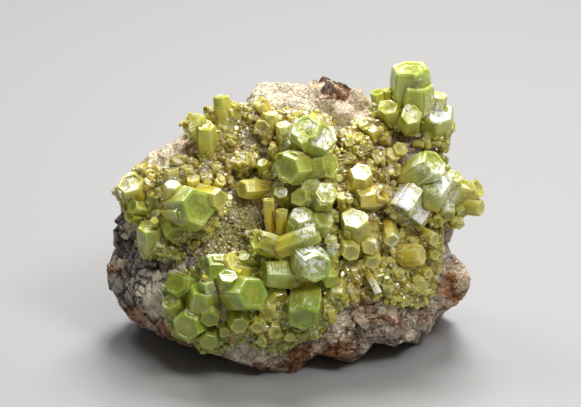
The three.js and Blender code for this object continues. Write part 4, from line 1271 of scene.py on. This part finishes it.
def break_point(v, settings):
    """Cuts one point of the block into broken faces and grains, and gives its QUARTZ_VALUES."""
    place = v.co.copy()
    bent = place + noise.noise_vector(place / (BEND_SIZE * MM)) * BEND * MM
    heart, facet, seam = block_cut(bent, settings.block_size)
    grain, pit = grain_cut(bent, settings.grain_size)
    across, up = plane_place(place)
    facing = v.normal.dot(DEEP)
    front = held(0.5 - 1.5 * facing, 0.2)
    is_front = facing < FRONT_FACING
    dark = spot_strength(DARK_SPOTS, across, up)
    milky = min(1.0, spot_strength(MILKY_SPOTS, across, up)) if is_front else 0.0
    milky *= max(0.0, 1 - dark)
    grey = spot_strength(GREY_SPOTS, across, up)
    slab = min(1.0, grey)
    rough = 1 - 0.6 * milky
    depth = (0.5 - 0.5 * facet + 0.45 * seam) * settings.block_relief * rough * (1 + 0.5 * slab)
    depth += (0.5 - 0.5 * grain + 0.5 * pit) * settings.grain_relief * rough * (1 - 0.6 * slab)
    v.co -= v.normal * (depth - settings.swell) * min(1.0, place.z / (FOOT_EASE * MM))
    if is_front:
        v.co -= DEEP * knob_rise(KNOBS, across, up) * MM
    v.co += UP * CREST_STRETCH * knob_rise(CREST_KNOBS, across, up) * MM
    v.co = Vector(np.clip(v.co, *CAD_BOX))
    rust = spot_strength(RUST_SPOTS, across, up) * front + 0.12 + 0.5 * max(0, noise.noise(place * 60))
    grey += max(0, noise.noise(place * 45 + Vector((9, 0, 0))))
    hollow = max(seam * 0.8, pit * 0.35 * (1 - slab)) * rough + dark * front * 0.7
    block = 0.5 + 0.5 * noise.noise(heart * 11.3)
    return min(STRONGEST, rust), min(1.0, grey), min(1.0, hollow), block, milky


def finish_piece(piece, nodes, material):
    piece.data.materials.clear()
    piece.data.materials.append(material)
    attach(piece, ROOT)
    if nodes:
        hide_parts(*nodes)


class SPECIMEN_OT_quartz(Operator):
    """Cuts the quartz block's broken faces, grains and cracks"""

    bl_idname = "specimen.quartz"
    bl_label = "Quartz Block"

    def execute(self, context):
        settings = context.scene.specimen_quartz
        noise.seed_set(NOISE_SEED)
        mesh = remeshed(merged_copy(QUARTZ_NODE, "quartz_block"), settings.voxel)
        bm = loaded(mesh)
        bm.normal_update()
        values = [break_point(v, settings) for v in bm.verts]
        bm.to_mesh(mesh)
        bm.free()
        for name, column in zip(QUARTZ_VALUES, zip(*values)):
            point_attribute(mesh, name, column)
        piece = add_object("quartz_block", mesh)
        finish_piece(piece, [QUARTZ_NODE], quartz_material(settings))
        return {"FINISHED"}


class SPECIMEN_OT_crystals(Operator):
    """Grows the crystals of every group, with their crust and druse"""

    bl_idname = "specimen.crystals"
    bl_label = "Crystals"

    def execute(self, context):
        settings = context.scene.specimen_crystals
        noise.seed_set(NOISE_SEED)
        surface = loaded(merged_copy(QUARTZ_NODE, "surface"))
        quartz = BVHTree.FromBMesh(surface)
        surface.free()
        material = crystal_material(settings)
        rock = bpy.data.objects["quartz_block"].data
        seats = rock_seats(rock, quartz, settings.sugar_count, random.Random(SUGAR_SEED))
        sugar = add_object("sugar", druse_mesh("sugar", seats))
        finish_piece(sugar, [], material)
        for number, node in enumerate(GROWTHS):
            self.grow_group(node, quartz, material, settings, random.Random(number + GROWTH_SEED))
        return {"FINISHED"}

    def grow_group(self, node, quartz, material, settings, dice):
        """Makes the prisms, the druse and the crust of one group."""
        rows = GROWTHS[node]
        group = bmesh.new()
        for row in rows:
            self.grow(group, quartz, row, settings, dice)
        prisms = mesh_of(group, node)
        prisms.shade_smooth()
        prisms.set_sharp_from_angle(angle=CREASE)
        # How strongly the painted glint goes on each point of the prisms.
        painted_glints = [spot_strength(PAINTED_GLINT_SPOTS, *plane_place(v.co)) for v in prisms.vertices]
        point_attribute(prisms, "painted_glint", np.minimum(painted_glints, STRONGEST))
        druse = druse_mesh(node + "_druse", druse_seats(node, quartz, settings, dice))
        crust = crust_mesh(node, settings, sum(row[0] for row in rows) / len(rows))
        for kind, mesh, nodes in (("prisms", prisms, [node]), ("druse", druse, []), ("crust", crust, [])):
            piece = add_object(node.replace("crystals", kind), mesh)
            finish_piece(piece, nodes, material)

    def grow(self, group, quartz, row, settings, dice):
        """Adds the crystal of one row to its group, and smaller ones on the sides of a large one."""
        foot, end = crystal_row_place(quartz, row)
        yellow, across, up, size = row[:4]
        radius = size * MM
        roll = repeat_number(across, up, size) * math.pi / 3
        shade = held(yellow + (EVEN_RADIUS - size) * SIZE_YELLOW + dice.gauss(0, YELLOW_CHANCE))
        add_crystal(group, foot, end, radius, roll, shade, size >= BARREL_FROM, settings, dice)
        if size < BEARING_FROM:
            return
        axis = (end - foot).normalized()
        side = axis.orthogonal().normalized()
        for _ in range(dice.choice((0, 1, 2, 4))):
            way = Matrix.Rotation(dice.random() * 2 * math.pi, 4, axis) @ side
            share = dice.uniform(0.32, 0.6)
            slip = way * radius * (dice.uniform(1.0, 1.16) - share)
            tip = foot + (end - foot) * dice.uniform(0.7, 1.02) + slip
            add_crystal(group, foot + slip * 0.8, tip, radius * share, roll, shade, True, settings, dice)


class SPECIMEN_OT_stage(Operator):
    """Sets the floor, the lights and the camera"""

    bl_idname = "specimen.stage"
    bl_label = "Stage"

    def execute(self, context):
        settings = context.scene.specimen_stage
        self.lay_floor(settings)
        self.hang_lights(settings)
        self.place_camera(settings)
        return {"FINISHED"}

    def lay_floor(self, settings):
        bm = bmesh.new()
        bmesh.ops.create_grid(bm, x_segments=1, y_segments=1, size=FLOOR_HALF)
        floor = add_object("floor", mesh_of(bm, "floor"))
        floor.location.z = -FLOOR_DROP * MM
        material, w, shader = new_material("studio_floor")
        w.fill(shader, {"Base Color": settings.floor_colour, "Roughness": 0.6})
        floor.data.materials.append(material)

    def hang_lights(self, settings):
        aim = Vector((0, 0, LIGHT_AIM * MM))
        for name, place, size, share in LIGHTS:
            light = bpy.data.lights.new(name, "AREA")
            light.size = size
            light.energy = settings.light_power * share
            lamp = add_object(name, light)
            lamp.location = place
            lamp.rotation_euler = (aim - Vector(place)).to_track_quat("-Z", "Y").to_euler()
        world = bpy.data.worlds.new("studio")
        world.use_nodes = True
        sky = world.node_tree.nodes["Background"].inputs
        sky["Color"].default_value = SKY_COLOUR
        sky["Strength"].default_value = SKY_STRENGTH
        bpy.context.scene.world = world

    def place_camera(self, settings):
        camera = bpy.data.cameras.new("camera")
        camera.lens = settings.focal_length
        camera.sensor_width = SENSOR_WIDTH
        camera.clip_end = 10
        rig = add_object("camera", camera)
        distance = settings.frame_width * settings.focal_length / camera.sensor_width
        rig.location = on_plane(*VIEW_MIDDLE) - DEEP * distance
        rig.rotation_euler = DEEP.to_track_quat("-Z", "Y").to_euler()
        bpy.context.scene.camera = rig
        bpy.context.scene.view_settings.view_transform = "Standard"


class SPECIMEN_PT_panel(Panel):
    """Lists the specimen's pieces and their settings"""

    bl_label = "Specimen"
    bl_space_type = "VIEW_3D"
    bl_region_type = "UI"
    bl_category = "Specimen"

    def draw(self, context):
        for name, _ in SETTINGS:
            settings = getattr(context.scene, name)
            box = self.layout.box()
            box.operator(name.replace("_", "."))
            for value in settings.__annotations__:
                box.prop(settings, value)


# Each group of settings, by the name of its operator with an underscore for the dot.
SETTINGS = (
    ("specimen_quartz", QuartzSettings),
    ("specimen_crystals", CrystalSettings),
    ("specimen_stage", StageSettings),
)
CLASSES = (SPECIMEN_OT_quartz, SPECIMEN_OT_crystals, SPECIMEN_OT_stage, SPECIMEN_PT_panel)


def register():
    for name, group in SETTINGS:
        bpy.utils.register_class(group)
        setattr(bpy.types.Scene, name, PointerProperty(type=group))
    for cls in CLASSES:
        bpy.utils.register_class(cls)


def unregister():
    for cls in reversed(CLASSES):
        bpy.utils.unregister_class(cls)
    for name, group in reversed(SETTINGS):
        delattr(bpy.types.Scene, name)
        bpy.utils.unregister_class(group)


def main():
    register()
    bpy.ops.specimen.quartz()
    bpy.ops.specimen.crystals()
    bpy.ops.specimen.stage()


if __name__ == "__main__":
    main()
